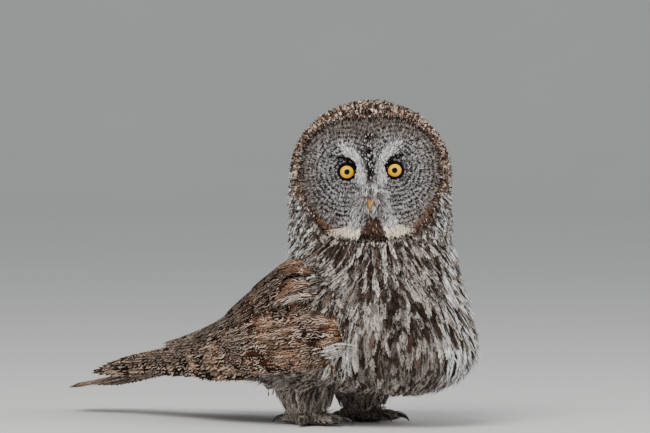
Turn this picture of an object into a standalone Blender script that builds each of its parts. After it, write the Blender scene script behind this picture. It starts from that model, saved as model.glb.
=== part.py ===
# Great grey owl at life size, standing low on the floor with its head turned to its right.
# Metres, +Z up, the bird faces -Y and its tail points to +Y. The origin is on the floor under
# the middle of the bird's bounding box.
import math

import bmesh
import bpy
import numpy as np
from mathutils import Matrix, Vector

MM = 0.001

# Driving sizes
DISC_ACROSS = 160 * MM  # widest span of the facial disc
CROWN_HEIGHT = 358 * MM  # top of the head above the floor
HEAD_TURN = math.radians(-50)  # about +Z, towards the bird's right
FACE_ROLL = math.radians(-2)  # the face leans to one side about the line of sight
HEAD_BASE = 200 * MM  # level where the head meets the neck
NECK_BASE = 1.35  # station of the trunk where the neck meets the torso
BODY_FORWARD = -155 * MM  # Y of the head's axis, before the box is centred on the origin
GAP = 0.3 * MM  # clear space between touching nodes

# Colours, as linear RGB
GREY_BROWN = (0.16, 0.125, 0.10)
PALE_GREY = (0.30, 0.28, 0.26)
DISC_GREY = (0.20, 0.19, 0.18)
WING_BROWN = (0.13, 0.085, 0.055)
TAIL_BROWN = (0.11, 0.08, 0.06)
IRIS_YELLOW = (0.85, 0.50, 0.04)
LID_BLACK = (0.012, 0.011, 0.011)
BILL_YELLOW = (0.60, 0.36, 0.10)
CLAW_BLACK = (0.02, 0.018, 0.018)
LEG_GREY = (0.34, 0.31, 0.28)


def clear_scene():
    for item in list(bpy.data.objects):
        bpy.data.objects.remove(item, do_unlink=True)


def make_material(name, colour, roughness):
    material = bpy.data.materials.new(name)
    material.use_nodes = True
    shader = material.node_tree.nodes["Principled BSDF"]
    shader.inputs["Base Color"].default_value = (*colour, 1.0)
    shader.inputs["Roughness"].default_value = roughness
    shader.inputs["Metallic"].default_value = 0.0
    return material


def new_collection(name, hidden=False):
    made = bpy.data.collections.new(name)
    bpy.context.scene.collection.children.link(made)
    made.hide_render = hidden
    return made


def between(rows, t):
    """Smooth values at place t along rows, where row i is the value at t = i."""
    rows = np.asarray(rows, float)
    i = int(min(max(math.floor(t), 0), len(rows) - 2))
    f = t - i
    start, end = rows[i], rows[i + 1]
    tangent_in = (end - rows[i - 1]) / 2 if i > 0 else end - start
    tangent_out = (rows[i + 2] - start) / 2 if i + 2 < len(rows) else end - start
    return (
        (2 * f**3 - 3 * f**2 + 1) * start
        + (f**3 - 2 * f**2 + f) * tangent_in
        + (3 * f**2 - 2 * f**3) * end
        + (f**3 - f**2) * tangent_out
    )


def at_place(places, rows, x):
    """Smooth values at x, where row i belongs to places[i]."""
    return between(rows, float(np.interp(x, places, range(len(places)))))


def turn_of(k, count):
    """Cosine and sine of the k-th of count equal steps round a ring."""
    return math.cos(2 * math.pi * k / count), math.sin(2 * math.pi * k / count)


def mesh_object(name, vertices, faces, collection):
    mesh = bpy.data.meshes.new(name)
    mesh.from_pydata([tuple(v) for v in vertices], [], faces)
    shape = bmesh.new()
    shape.from_mesh(mesh)
    bmesh.ops.remove_doubles(shape, verts=shape.verts, dist=1e-7)
    bmesh.ops.recalc_face_normals(shape, faces=shape.faces)
    if shape.calc_volume(signed=True) < 0:
        bmesh.ops.reverse_faces(shape, faces=shape.faces)
    shape.to_mesh(mesh)
    shape.free()
    made = bpy.data.objects.new(name, mesh)
    collection.objects.link(made)
    return made


def loft(name, rings, collection, tip=None):
    """A closed body through rings of equal length, capped flat, or drawn to a tip point."""
    count = len(rings[0])
    vertices = [p for ring in rings for p in ring]
    faces = []
    for i in range(len(rings) - 1):
        for k in range(count):
            a, b = i * count + k, i * count + (k + 1) % count
            faces.append((a, b, b + count, a + count))
    faces.append(tuple(reversed(range(count))))
    last = (len(rings) - 1) * count
    if tip is None:
        faces.append(tuple(range(last, last + count)))
    else:
        vertices.append(tip)
        for k in range(count):
            faces.append((last + k, last + (k + 1) % count, len(vertices) - 1))
    return mesh_object(name, vertices, faces, collection)


def dress(item, name, material, collection):
    """Makes an object a node of the bird, with its own material and smooth shading."""
    for holder in list(item.users_collection):
        holder.objects.unlink(item)
    collection.objects.link(item)
    item.name = name
    item.data.name = name
    item.data.materials.clear()
    item.data.materials.append(material)
    item.data.shade_smooth()
    item.data.set_sharp_from_angle(angle=math.radians(40))
    return item


def apply_modifiers(item):
    graph = bpy.context.evaluated_depsgraph_get()
    mesh = bpy.data.meshes.new_from_object(item.evaluated_get(graph))
    item.modifiers.clear()
    item.data = mesh


def keep_largest(item):
    """Leaves only the largest closed surface of the mesh."""
    shape = bmesh.new()
    shape.from_mesh(item.data)
    bmesh.ops.remove_doubles(shape, verts=shape.verts, dist=1e-7)
    left, islands = set(shape.faces), []
    while left:
        stack, island = [left.pop()], []
        while stack:
            face = stack.pop()
            island.append(face)
            for edge in face.edges:
                for other in edge.link_faces:
                    if other in left:
                        left.remove(other)
                        stack.append(other)
        islands.append(island)
    islands.sort(key=len)
    drop = [face for island in islands[:-1] for face in island]
    bmesh.ops.delete(shape, geom=drop, context="FACES")
    bmesh.ops.triangulate(shape, faces=shape.faces)
    shape.to_mesh(item.data)
    shape.free()


def cut(item, cutters, solver="MANIFOLD"):
    for cutter in cutters:
        cutter.hide_render = True
        cutter.display_type = "WIRE"
        modifier = item.modifiers.new("cut", "BOOLEAN")
        modifier.operation = "DIFFERENCE"
        modifier.solver = solver
        modifier.object = cutter
    apply_modifiers(item)
    keep_largest(item)


def join(base, pieces, solver="MANIFOLD"):
    """One Boolean union of the base and a collection of closed pieces, which are then removed."""
    group = new_collection("joined", hidden=True)
    for piece in pieces:
        for holder in list(piece.users_collection):
            holder.objects.unlink(piece)
        group.objects.link(piece)
    modifier = base.modifiers.new("join", "BOOLEAN")
    modifier.operation = "UNION"
    modifier.solver = solver
    modifier.operand_type = "COLLECTION"
    modifier.collection = group
    apply_modifiers(base)
    for piece in pieces:
        bpy.data.objects.remove(piece, do_unlink=True)
    bpy.data.collections.remove(group)
    keep_largest(base)


def blade(centres, across, out, half_widths, half_depths, name, collection):
    """A thin closed feather: a flat diamond section at each centre, drawn to a point at the last.

    Both faces have the same quads, each split along the same diagonal."""
    rows = []
    for p, a, n, w, d in zip(centres[:-1], across, out, half_widths, half_depths):
        p, a, n = Vector(p), Vector(a).normalized(), Vector(n).normalized()
        rows.append((p + a * w, p + n * d, p - a * w, p - n * d))
    vertices = [v for row in rows for v in row]
    faces = []
    for i in range(len(rows) - 1):
        a = 4 * i
        for k in range(4):
            p, q = a + k, a + (k + 1) % 4
            left, right = (p, q) if k in (0, 2) else (q, p)
            faces.append((left, right, right + 4))
            faces.append((left, right + 4, left + 4))
    faces.append((0, 1, 2, 3))
    last = 4 * (len(rows) - 1)
    vertices.append(Vector(centres[-1]))
    for k in range(4):
        faces.append((last + k, last + (k + 1) % 4, len(vertices) - 1))
    return mesh_object(name, vertices, faces, collection)


def place(side_s_h):
    """A point given as (x, distance behind the head's axis, height), in the bird's frame."""
    x, back, height = side_s_h
    return Vector((x, BODY_FORWARD + back, height))


# The trunk: the back line and the breast and belly line in side view, as distance behind the
# head's axis and height, with the half width of the section that joins them.
TRUNK_BACK = np.array(
    [(88, 200), (90, 187), (97, 177), (112, 166), (128, 154), (146, 141), (168, 124),
     (195, 107), (228, 94), (262, 82), (292, 72)]
) * MM
TRUNK_FRONT = np.array(
    [(-91, 200), (-98, 172), (-107, 140), (-119, 104), (-120, 66), (-78, 43), (-10, 41),
     (74, 44), (146, 48), (210, 52), (254, 55)]
) * MM
TRUNK_HALF_WIDTH = np.array([90, 92, 98, 104, 107, 106, 100, 87, 65, 41, 24]) * MM
TRUNK_SIDES = 28


def trunk_ring(t, grow=0.0):
    """The trunk's section at station t, moved out by grow."""
    back, front = between(TRUNK_BACK, t), between(TRUNK_FRONT, t)
    half_width = float(between(TRUNK_HALF_WIDTH, t)) + grow
    middle, half = (back + front) / 2, (back - front) / 2
    half *= 1 + grow / np.linalg.norm(half)
    ring = []
    for k in range(TRUNK_SIDES):
        c, s = turn_of(k, TRUNK_SIDES)
        ring.append(place((half_width * s, *(middle + half * c))))
    return ring


def trunk_piece(name, stations, collection, grow=0.0):
    return loft(name, [trunk_ring(t, grow) for t in stations], collection)


# The head: a dome that narrows upwards from its widest level, round in plan.
HEAD_WIDEST_LEVEL = 270 * MM
HEAD_HALF_WIDTH = 90.5 * MM
HEAD_FRONT = 90 * MM
HEAD_BEHIND = 84 * MM
HEAD_POWER = 2.05
HEAD_SIDES = 36


def dome_scale(height):
    """How far the dome has closed in at a height, from 1 at its widest to 0 at the crown."""
    up = max(0.0, (height - HEAD_WIDEST_LEVEL) / (CROWN_HEIGHT - HEAD_WIDEST_LEVEL))
    return max(0.0, 1 - min(up, 1.0) ** HEAD_POWER) ** (1 / HEAD_POWER)


def dome_front(x, height):
    """How far forward the bare dome reaches at a place on the face."""
    scale = max(dome_scale(height), 1e-6)
    share = min(1.0, abs(x) / (HEAD_HALF_WIDTH * scale))
    return HEAD_FRONT * scale * math.sqrt(max(0.0, 1 - share**2))


def on_dome(p, lift):
    """The dome's surface out from its axis through p, and the outward direction there."""
    reach = HEAD_FRONT if p.y < 0 else HEAD_BEHIND
    across = math.hypot(p.x / HEAD_HALF_WIDTH, p.y / reach)
    rise = CROWN_HEIGHT - HEAD_WIDEST_LEVEL
    up = max(0.0, (p.z - HEAD_WIDEST_LEVEL) / rise)
    total = across**HEAD_POWER + up**HEAD_POWER
    shrink = total ** (-1 / HEAD_POWER)
    height = HEAD_WIDEST_LEVEL + (p.z - HEAD_WIDEST_LEVEL) * shrink if up > 0 else p.z
    flat = across ** (HEAD_POWER - 2)
    normal = Vector(
        (
            flat * p.x / HEAD_HALF_WIDTH**2,
            flat * p.y / reach**2,
            up ** (HEAD_POWER - 1) / rise,
        )
    ).normalized()
    return Vector((p.x * shrink, p.y * shrink, height)) + normal * lift, normal


def head_frame():
    """Turns the head's own frame, facing -Y on the head's axis, into the bird's frame."""
    return Matrix.Translation((0, BODY_FORWARD, 0)) @ Matrix.Rotation(HEAD_TURN, 4, "Z")


def head_dome(collection, grow=0.0):
    levels = [HEAD_BASE + GAP, 235 * MM, HEAD_WIDEST_LEVEL]
    for k in range(1, 8):
        closing = math.sin(math.radians(90 * k / 8))
        levels.append(HEAD_WIDEST_LEVEL + (CROWN_HEIGHT - HEAD_WIDEST_LEVEL) * closing)
    rings = []
    for height in levels:
        scale = dome_scale(height)
        below = max(0.0, (HEAD_WIDEST_LEVEL - height) / (HEAD_WIDEST_LEVEL - HEAD_BASE))
        ring = []
        for k in range(HEAD_SIDES):
            c, s = turn_of(k, HEAD_SIDES)
            depth = HEAD_FRONT + 2 * MM * below if c > 0 else HEAD_BEHIND + 4 * MM * below
            half_width = HEAD_HALF_WIDTH
            ring.append(
                Vector(
                    ((half_width * scale + grow) * s, -(depth * scale + grow) * c, height)
                )
            )
        rings.append(ring)
    crown = Vector((0, 0, CROWN_HEIGHT + grow))
    made = loft("dome", rings, collection, tip=crown)
    made.data.transform(head_frame())
    return made


# The facial disc, in polar form round its middle: a dish sunk in the front of the dome, with
# a bowl round each eye and a ridge down the middle.
DISC_LEVEL = 274 * MM
DISC_RADII = np.array([66, 75, 82, 79.5, 76.5, 76, 67]) * MM * DISC_ACROSS / 0.160
DISC_SPOKES = 32
DISC_RINGS = (0.17, 0.34, 0.5, 0.66, 0.84, 1.0)
DISC_BACK_DEPTH = 34 * MM  # how far forward of the head's axis the disc's flat back lies
DISH_DEPTH = 15 * MM
EYE_SPACING = 52 * MM
EYE_LEVEL = 281 * MM
EYE_RADIUS = 11 * MM
EYE_CENTRE_DEPTH = 60.5 * MM
LID_RADIUS = 9.3 * MM
LID_THICKNESS = 1.5 * MM
LID_DEPTH = 68.2 * MM


def disc_radius(angle):
    """Rim radius at an angle from straight up, alike on both sides."""
    turned = abs((angle + math.pi) % (2 * math.pi) - math.pi)
    return float(between(DISC_RADII, turned / math.radians(30)))


def disc_depth(x, rise, share):
    """How far forward the dish is at a place on the face. rise is above the disc's middle."""
    height = DISC_LEVEL + rise
    forward = dome_front(x, height) - DISH_DEPTH * (1 - share**3)
    for side in (-1, 1):
        away = math.hypot(x - side * EYE_SPACING / 2, height - EYE_LEVEL)
        forward -= 7.5 * MM * math.exp(-((away / (16 * MM)) ** 2))
    ridge = math.exp(-((x / (11 * MM)) ** 2)) * (1 - share**4)
    forward += 8 * MM * ridge
    return forward


def disc_point(angle, share):
    radius = disc_radius(angle) * share
    x, rise = radius * math.sin(angle), radius * math.cos(angle)
    return Vector((x, -disc_depth(x, rise, share), DISC_LEVEL + rise))


def face_frame():
    """The head's frame with the small roll of the face about the middle of the disc."""
    middle = Matrix.Translation((0, 0, DISC_LEVEL))
    roll = middle @ Matrix.Rotation(FACE_ROLL, 4, "Y") @ middle.inverted()
    return head_frame() @ roll


def disc_body(collection):
    """The disc: the dish in front, its rim drawn straight back to a flat face."""
    vertices, faces = [disc_point(0, 0)], []
    for share in DISC_RINGS:
        for k in range(DISC_SPOKES):
            vertices.append(disc_point(2 * math.pi * k / DISC_SPOKES, share))
    back = len(vertices)
    for v in vertices[-DISC_SPOKES:]:
        vertices.append(Vector((v.x, -DISC_BACK_DEPTH, v.z)))
    for k in range(DISC_SPOKES):
        after = (k + 1) % DISC_SPOKES
        faces.append((0, 1 + k, 1 + after))
        for ring in range(len(DISC_RINGS)):
            a = 1 + ring * DISC_SPOKES
            faces.append((a + k, a + DISC_SPOKES + k, a + DISC_SPOKES + after, a + after))
    faces.append(tuple(range(back, back + DISC_SPOKES)))
    made = mesh_object("disc", vertices, faces, collection)
    made.data.transform(face_frame())
    return made


def disc_hole(collection):
    """The hole in the head that takes the disc, larger by the gap, as a straight prism."""
    rings = []
    for depth in (DISC_BACK_DEPTH - GAP, 140 * MM):
        ring = []
        for k in range(DISC_SPOKES):
            rim = disc_point(2 * math.pi * k / DISC_SPOKES, 1.0)
            away = Vector((rim.x, 0, rim.z - DISC_LEVEL))
            away *= 1 + GAP / away.length
            ring.append(Vector((away.x, -depth, DISC_LEVEL + away.z)))
        rings.append(ring)
    made = loft("disc_hole", rings, collection)
    made.data.transform(face_frame())
    return made


def ball(name, radius, centre, collection, segments=18, rings=10):
    shape = bmesh.new()
    bmesh.ops.create_uvsphere(shape, u_segments=segments, v_segments=rings, radius=radius)
    bmesh.ops.rotate(
        shape, verts=shape.verts, cent=(0, 0, 0), matrix=Matrix.Rotation(math.pi / 2, 3, "X")
    )
    bmesh.ops.translate(shape, verts=shape.verts, vec=centre)
    mesh = bpy.data.meshes.new(name)
    shape.to_mesh(mesh)
    shape.free()
    made = bpy.data.objects.new(name, mesh)
    collection.objects.link(made)
    made.data.transform(face_frame())
    return made


def eye_centre(side):
    return Vector((side * EYE_SPACING / 2, -EYE_CENTRE_DEPTH, EYE_LEVEL))


def lid_ring(name, side, grow, collection, around=20, section=6):
    """The lid: a ring round the eye, heavier above its inner corner, drawn in at that corner."""
    rings = []
    for k in range(around):
        angle = 2 * math.pi * k / around
        inner_corner = math.exp(-((1 - math.cos(angle - math.radians(205))) / 0.10))
        heavy = 0.5 + 0.5 * math.cos(angle - math.radians(140))
        thick = LID_THICKNESS * (0.85 + 0.45 * heavy) + grow
        radius = LID_RADIUS + 1.6 * MM * inner_corner - 0.5 * MM * heavy
        middle = Vector(
            (
                side * radius * math.cos(angle),
                -LID_DEPTH + EYE_CENTRE_DEPTH,
                radius * math.sin(angle),
            )
        )
        outward = Vector((side * math.cos(angle), 0, math.sin(angle)))
        ring = []
        for j in range(section):
            turn = 2 * math.pi * j / section
            offset = middle + outward * (thick * math.cos(turn))
            offset.y -= thick * math.sin(turn)
            if grow == 0 and offset.length < EYE_RADIUS + 2 * GAP:
                offset = offset.normalized() * (EYE_RADIUS + 2 * GAP)
            ring.append(eye_centre(side) + offset)
        rings.append(ring)
    vertices = [p for ring in rings for p in ring]
    faces = []
    for i in range(around):
        for j in range(section):
            a, b = i * section + j, i * section + (j + 1) % section
            after = ((i + 1) % around - i) * section
            faces.append((a, b, b + after, a + after))
    made = mesh_object(name, vertices, faces, collection)
    made.data.transform(face_frame())
    return made


# The bill: a hooked upper part over a short lower one, both coming out of the ridge.
BILL_LINE = np.array([(66, 261), (80, 259.5), (89, 253), (92.5, 245), (91.5, 236.5)]) * MM
BILL_HALF_WIDTH = np.array([6.6, 6.2, 5.0, 3.3, 0.9]) * MM
BILL_HALF_DEPTH = np.array([6.0, 5.6, 4.6, 3.0, 0.9]) * MM
LOWER_BILL_LINE = np.array([(66, 249.5), (77, 246), (82, 242), (84.5, 238.5)]) * MM
LOWER_BILL_HALF_WIDTH = np.array([5.0, 4.4, 3.2, 1.2]) * MM
LOWER_BILL_HALF_DEPTH = np.array([3.0, 2.6, 1.9, 0.9]) * MM
NOSTRIL = (5.6 * MM, 83.5 * MM, 255.5 * MM)  # out from the middle, forward, height
NOSTRIL_RADIUS = 1.5 * MM


def horn(name, line, half_widths, half_depths, collection, steps=8, sides=10, grow=0.0):
    """A tapering curved body along a line given as (forward, height) on the middle of the face."""
    rings = []
    last = len(line) - 1
    for t in np.linspace(0, last, steps):
        here = between(line, t)
        ahead = between(line, min(t + 0.05, last)) - between(line, max(t - 0.05, 0))
        ahead /= np.linalg.norm(ahead)
        normal = np.array([ahead[1], -ahead[0]])
        width = float(between(half_widths, t)) + grow
        depth = float(between(half_depths, t)) + grow
        ring = []
        for k in range(sides):
            c, s = turn_of(k, sides)
            point = here + normal * depth * c
            ring.append(Vector((width * s, -point[0], point[1])))
        rings.append(ring)
    made = loft(name, rings, collection)
    made.data.transform(face_frame())
    return made


# Locks and feathers of the head
RUFF_COUNT = 30
RUFF_LENGTH = 21 * MM
RUFF_WIDTH = 10.5 * MM
RUFF_DEPTH = 1.3 * MM
BEARD_OPEN_ANGLE = math.radians(38)  # the ruff is open this far to each side of straight down


def ruff_locks(collection, rng):
    """The ruff: short overlapping feathers that ring the disc and lean back over the head."""
    locks = []
    for k in range(RUFF_COUNT):
        angle = 2 * math.pi * (k + 0.5) / RUFF_COUNT
        if abs(angle - math.pi) < BEARD_OPEN_ANGLE:
            continue
        length = RUFF_LENGTH * rng.uniform(0.85, 1.1)
        radius = disc_radius(angle) + 1.4 * MM
        x, rise = radius * math.sin(angle), radius * math.cos(angle)
        forward = dome_front(x, DISC_LEVEL + rise)
        rim = Vector((x, -max(forward, 30 * MM), DISC_LEVEL + rise))
        tangent = Vector((math.cos(angle), 0, -math.sin(angle)))
        centres, across, out = [], [], []
        for share, lift in ((0.0, -4.5), (0.12, 0.9), (0.55, 1.1), (0.85, 0.8), (1.0, 0.3)):
            ahead = rim + Vector((0, length * share, 0)) + tangent * (4.0 * MM * share)
            point, normal = on_dome(ahead, lift * MM)
            point.z = max(point.z, HEAD_BASE + 1.5 * MM)
            centres.append(point)
            across.append(tangent + normal * 0.16)
            out.append(normal)
        widths = [RUFF_WIDTH * w for w in (0.75, 1.0, 1.0, 0.72)]
        depths = [RUFF_DEPTH * d for d in (1.2, 1.0, 0.8, 0.6)]
        lock = blade(centres, across[:4], out[:4], widths, depths, "ruff", collection)
        lock.data.transform(face_frame())
        locks.append(lock)
    return locks


def face_lock(start, middle, end, width, depth, collection):
    """A lock on the face along a bent line of (x, height) places, with lifts off the dish."""
    centres = []
    for t in (0, 0.33, 0.66, 1):
        a, b = Vector(start).lerp(Vector(middle), t), Vector(middle).lerp(Vector(end), t)
        x, height, lift = a.lerp(b, t)
        rise = height - DISC_LEVEL
        share = min(1.0, math.hypot(x, rise) / disc_radius(math.atan2(x, rise)))
        centres.append(Vector((x, -(disc_depth(x, rise, share) + lift), height)))
    across = []
    for i in range(len(centres) - 1):
        along = centres[i + 1] - centres[i]
        across.append(along.cross(Vector((0, -1, 0))))
    widths = [width * w for w in (0.7, 1.0, 0.8)]
    depths = [depth * d for d in (1.3, 1.0, 0.8)]
    lock = blade(
        centres, across, [Vector((0, -1, 0))] * 3, widths, depths, "face_lock", collection
    )
    lock.data.transform(face_frame())
    return lock


def beard_locks(collection):
    """The pale moustache that sweeps out under the bill, the chin between and the brows."""
    locks = []
    for side in (-1, 1):
        for k in range(5):
            share = k / 4
            start = (side * (9 + 3 * share) * MM, (236 - 5 * share) * MM, -1.5 * MM)
            middle = (side * (20 + 4 * share) * MM, (226 - 9 * share) * MM, 4.0 * MM)
            end = (side * (50 - 24 * share) * MM, (216 - 7 * share) * MM, 3.0 * MM)
            locks.append(face_lock(start, middle, end, 4.8 * MM, 1.2 * MM, collection))
        for k in range(4):
            share = k / 3
            start = (side * 6 * MM, (262 + 20 * share) * MM, -2.0 * MM)
            middle = (side * (9 + share) * MM, (284 + 14 * share) * MM, 3.0 * MM)
            end = (side * (27 - 14 * share) * MM, (302 + 10 * share) * MM, 2.0 * MM)
            locks.append(face_lock(start, middle, end, 3.6 * MM, 1.2 * MM, collection))
    for x in (-6, 0, 6):
        start = (x * 0.4 * MM, 238 * MM, -1.5 * MM)
        middle = (x * 0.8 * MM, 224 * MM, 3.0 * MM)
        end = (x * 1.6 * MM, 210 * MM, 3.0 * MM)
        locks.append(face_lock(start, middle, end, 4.5 * MM, 1.2 * MM, collection))
    return locks


# The folded wing lies on a sheet round the flank: at each place behind the head's axis, its
# half width, the level where it is widest, its rise above that level and its lower edge.
WING_PLACES = np.array([-42, -10, 40, 100, 160, 220, 290, 400]) * MM
WING_HALF_WIDTH = np.array([99.5, 110, 114, 108, 95, 75, 51, 24]) * MM
WING_WIDEST_LEVEL = np.array([105, 103, 96, 88, 80, 74, 66, 49]) * MM
WING_RISE = np.array([150, 148, 118, 80, 44, 25, 16, 10]) * MM
WING_LOW_EDGE = np.array([88, 69, 57, 49, 44, 41, 38, 34]) * MM
LOW_EDGE_ANGLE = 115.0  # degrees round the sheet from straight up
PAD_BACK_END = 168 * MM
PAD_DEPTH = 9 * MM


def wing_sheet(back, angle, lift, side):
    """A point of the wing's sheet and its outward normal. angle is in degrees."""
    half_width = float(at_place(WING_PLACES, WING_HALF_WIDTH, back)) + lift
    level = float(at_place(WING_PLACES, WING_WIDEST_LEVEL, back))
    c, s = math.cos(math.radians(angle)), math.sin(math.radians(angle))
    if c > 0:
        rise = float(at_place(WING_PLACES, WING_RISE, back))
    else:
        low = float(at_place(WING_PLACES, WING_LOW_EDGE, back))
        rise = (level - low) / -math.cos(math.radians(LOW_EDGE_ANGLE))
    point = place((side * half_width * s, back, level + (rise + lift) * c))
    normal = Vector((side * s * rise, 0, c * half_width)).normalized()
    return point, normal


def sheet_step(back, angle, side):
    """Millimetres round the sheet for one degree there, as metres."""
    a, _ = wing_sheet(back, angle - 0.5, 0, side)
    b, _ = wing_sheet(back, angle + 0.5, 0, side)
    return (b - a).length


def vane(start, end, half_width, lift, tilt, side, collection, segments):
    """A feather of the wing from (place, angle) to (place, angle), tilted so that tiers overlap."""
    centres, across, out, widths, depths = [], [], [], [], []
    shares = {3: (0, 0.45, 0.86, 1), 4: (0, 0.35, 0.7, 0.92, 1)}[segments]
    profile = {3: (0.55, 1.0, 0.84), 4: (0.45, 0.8, 1.0, 0.72)}[segments]
    for i, share in enumerate(shares):
        back = start[0] + (end[0] - start[0]) * share
        angle = start[1] + (end[1] - start[1]) * share
        rooted = lift - 4.0 * MM * max(0.0, 1 - share * 3)
        point, normal = wing_sheet(back, angle, rooted, side)
        step = sheet_step(back, angle, side)
        turn = half_width / step
        above, _ = wing_sheet(back, angle - turn / 2, rooted - tilt / 2, side)
        below, _ = wing_sheet(back, angle + turn / 2, rooted + tilt / 2, side)
        centres.append(point)
        across.append(above - below)
        out.append(normal)
        widths.append(half_width * profile[min(i, segments - 1)])
        depths.append(0.75 * MM if share < 0.7 else 0.55 * MM)
    return blade(centres, across, out, widths, depths, "vane", collection)


def spread(first, last, share):
    return first + (last - first) * share


# Tiers of the folded wing: count, root and tip at the tier's upper and lower ends as
# (millimetres behind the head's axis, degrees round the sheet), half width, lift and tilt.
WING_TIERS = (
    # primaries, stacked along the low edge, with their tips in steps
    (5, (118, 90), (96, 108), (300, 52), (386, 96), 12.5, -2.0, 4.4, 4),
    # secondaries
    (5, (66, 68), (60, 108), (250, 52), (186, 104), 16.0, 0.8, 5.0, 4),
    # tertials
    (3, (62, 58), (66, 70), (288, 26), (258, 48), 15.0, 3.4, 4.2, 4),
    # greater coverts
    (5, (2, 76), (0, 108), (132, 72), (104, 106), 13.0, 3.6, 4.8, 3),
    # median coverts
    (4, (-30, 80), (-30, 107), (64, 76), (54, 105), 12.5, 6.0, 4.2, 3),
    # scapulars, long ones above the wing and short ones in front
    (3, (24, 46), (10, 70), (176, 34), (132, 68), 19.0, 6.8, 5.0, 4),
    (3, (-4, 60), (-14, 80), (92, 48), (62, 76), 15.0, 9.2, 4.0, 3),
)


def wing_pad(side, collection):
    """The wing's arm under its feathers: a shallow plate on the sheet, trimmed later."""
    backs = np.linspace(-42 * MM, PAD_BACK_END, 7)
    tops = [(-42, 84), (-10, 66), (40, 52), (100, 46), (168, 48)]
    steps = 6
    vertices, faces = [], []
    for lift_share in (0, 1):
        for back in backs:
            top = float(np.interp(back / MM, [t[0] for t in tops], [t[1] for t in tops]))
            for k in range(steps + 1):
                low = LOW_EDGE_ANGLE - 2 - 14 * max(0.0, back / PAD_BACK_END) ** 2
                angle = spread(top, low, k / steps)
                inset = 1 - (2 * k / steps - 1) ** 6
                reach = min(1.0, (PAD_BACK_END - back) / (40 * MM) + 0.15)
                lift = 1.5 * MM * inset * reach if lift_share == 0 else -PAD_DEPTH * reach - 1 * MM
                vertices.append(wing_sheet(back, angle, lift, side)[0])
    rows, columns = len(backs), steps + 1
    sheet = rows * columns
    for first in (0, sheet):
        for i in range(rows - 1):
            for k in range(columns - 1):
                a = first + i * columns + k
                faces.append((a, a + 1, a + columns))
                faces.append((a + 1, a + columns + 1, a + columns))
    edge = [k for k in range(columns)]
    edge += [i * columns + columns - 1 for i in range(1, rows)]
    edge += [(rows - 1) * columns + k for k in range(columns - 2, -1, -1)]
    edge += [i * columns for i in range(rows - 2, 0, -1)]
    for i, a in enumerate(edge):
        b = edge[(i + 1) % len(edge)]
        faces.append((a, b, sheet + b, sheet + a))
    return mesh_object("pad", vertices, faces, collection)


def wing(side, collection, rng):
    pad = wing_pad(side, collection)
    feathers = []
    for tier in WING_TIERS:
        count, root_a, root_b, tip_a, tip_b, half_width, lift, tilt, segments = tier
        for k in range(count):
            share = k / (count - 1)
            root = (
                spread(root_a[0], root_b[0], share) * MM,
                spread(root_a[1], root_b[1], share),
            )
            tip = (
                (spread(tip_a[0], tip_b[0], share) + rng.uniform(-2, 2)) * MM,
                spread(tip_a[1], tip_b[1], share),
            )
            feathers.append(
                vane(root, tip, half_width * MM, lift * MM, tilt * MM, side, collection,
                     segments)
            )
    join(pad, feathers)
    return pad


# The tail: twelve feathers fanned from a short root behind the trunk
TAIL_ROOT = (262 * MM, 62 * MM)
TAIL_TIP = (430 * MM, 34 * MM)
TAIL_COUNT = 12
TAIL_SPREAD = math.radians(6.5)  # of the outermost feather from the middle line
TAIL_HALF_WIDTH = 15 * MM


def tail_root(collection):
    rings = []
    for t, half_width, half_depth in ((0, 21, 8), (0.35, 21, 7.5), (0.7, 19, 6), (1, 15, 4)):
        back = TAIL_ROOT[0] + 55 * MM * t
        height = TAIL_ROOT[1] - 9 * MM * t
        ring = []
        for k in range(16):
            c, s = turn_of(k, 16)
            ring.append(place((half_width * MM * s, back, height + half_depth * MM * c)))
        rings.append(ring)
    return loft("tail_root", rings, collection)


def tail(collection, rng):
    root = tail_root(collection)
    feathers = []
    for k in range(TAIL_COUNT):
        rank = k - (TAIL_COUNT - 1) / 2
        share = abs(rank) / ((TAIL_COUNT - 1) / 2)
        side = math.copysign(1, rank)
        angle = TAIL_SPREAD * rank / ((TAIL_COUNT - 1) / 2)
        drop = (0.9 + 6.2 * share) * MM
        length = (TAIL_TIP[0] - TAIL_ROOT[0]) * (1 - 0.10 * share**2) - 18 * MM
        centres, across, widths, depths = [], [], [], []
        for i, part in enumerate((0, 0.35, 0.7, 0.93, 1)):
            back = TAIL_ROOT[0] + 18 * MM + length * part
            height = spread(TAIL_ROOT[1], TAIL_TIP[1], (back - TAIL_ROOT[0]) / 0.168)
            x = (3 * MM + 10 * MM * share) * side + math.tan(angle) * length * part
            centres.append(place((x, back, height - drop * (0.4 + 0.6 * part))))
            across.append(Vector((1, 0, -0.13 * side)))
            widths.append(TAIL_HALF_WIDTH * (0.6, 0.85, 1.0, 0.72, 0)[i])
            depths.append(0.7 * MM)
        up = [Vector((0.13 * side, 0, 1))] * 4
        feathers.append(
            blade(centres, across[:4], up, widths[:4], depths[:4], "tail_vane", collection)
        )
    join(root, feathers)
    return root


# Legs and feet
LEG_SPACING = 94 * MM
ANKLE_BACK = 52 * MM
HIP_BACK = 62 * MM
TOE_RADIUS = 8.0 * MM
TOE_LEVEL = 6.5 * MM
TOES = (  # name, degrees outward from straight ahead, length
    ("inner", -14, 44),
    ("middle", 12, 47),
    ("outer", 58, 42),
    ("hind", 176, 34),
)


def ankle(side):
    return place((side * LEG_SPACING / 2, ANKLE_BACK, 0))


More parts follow.
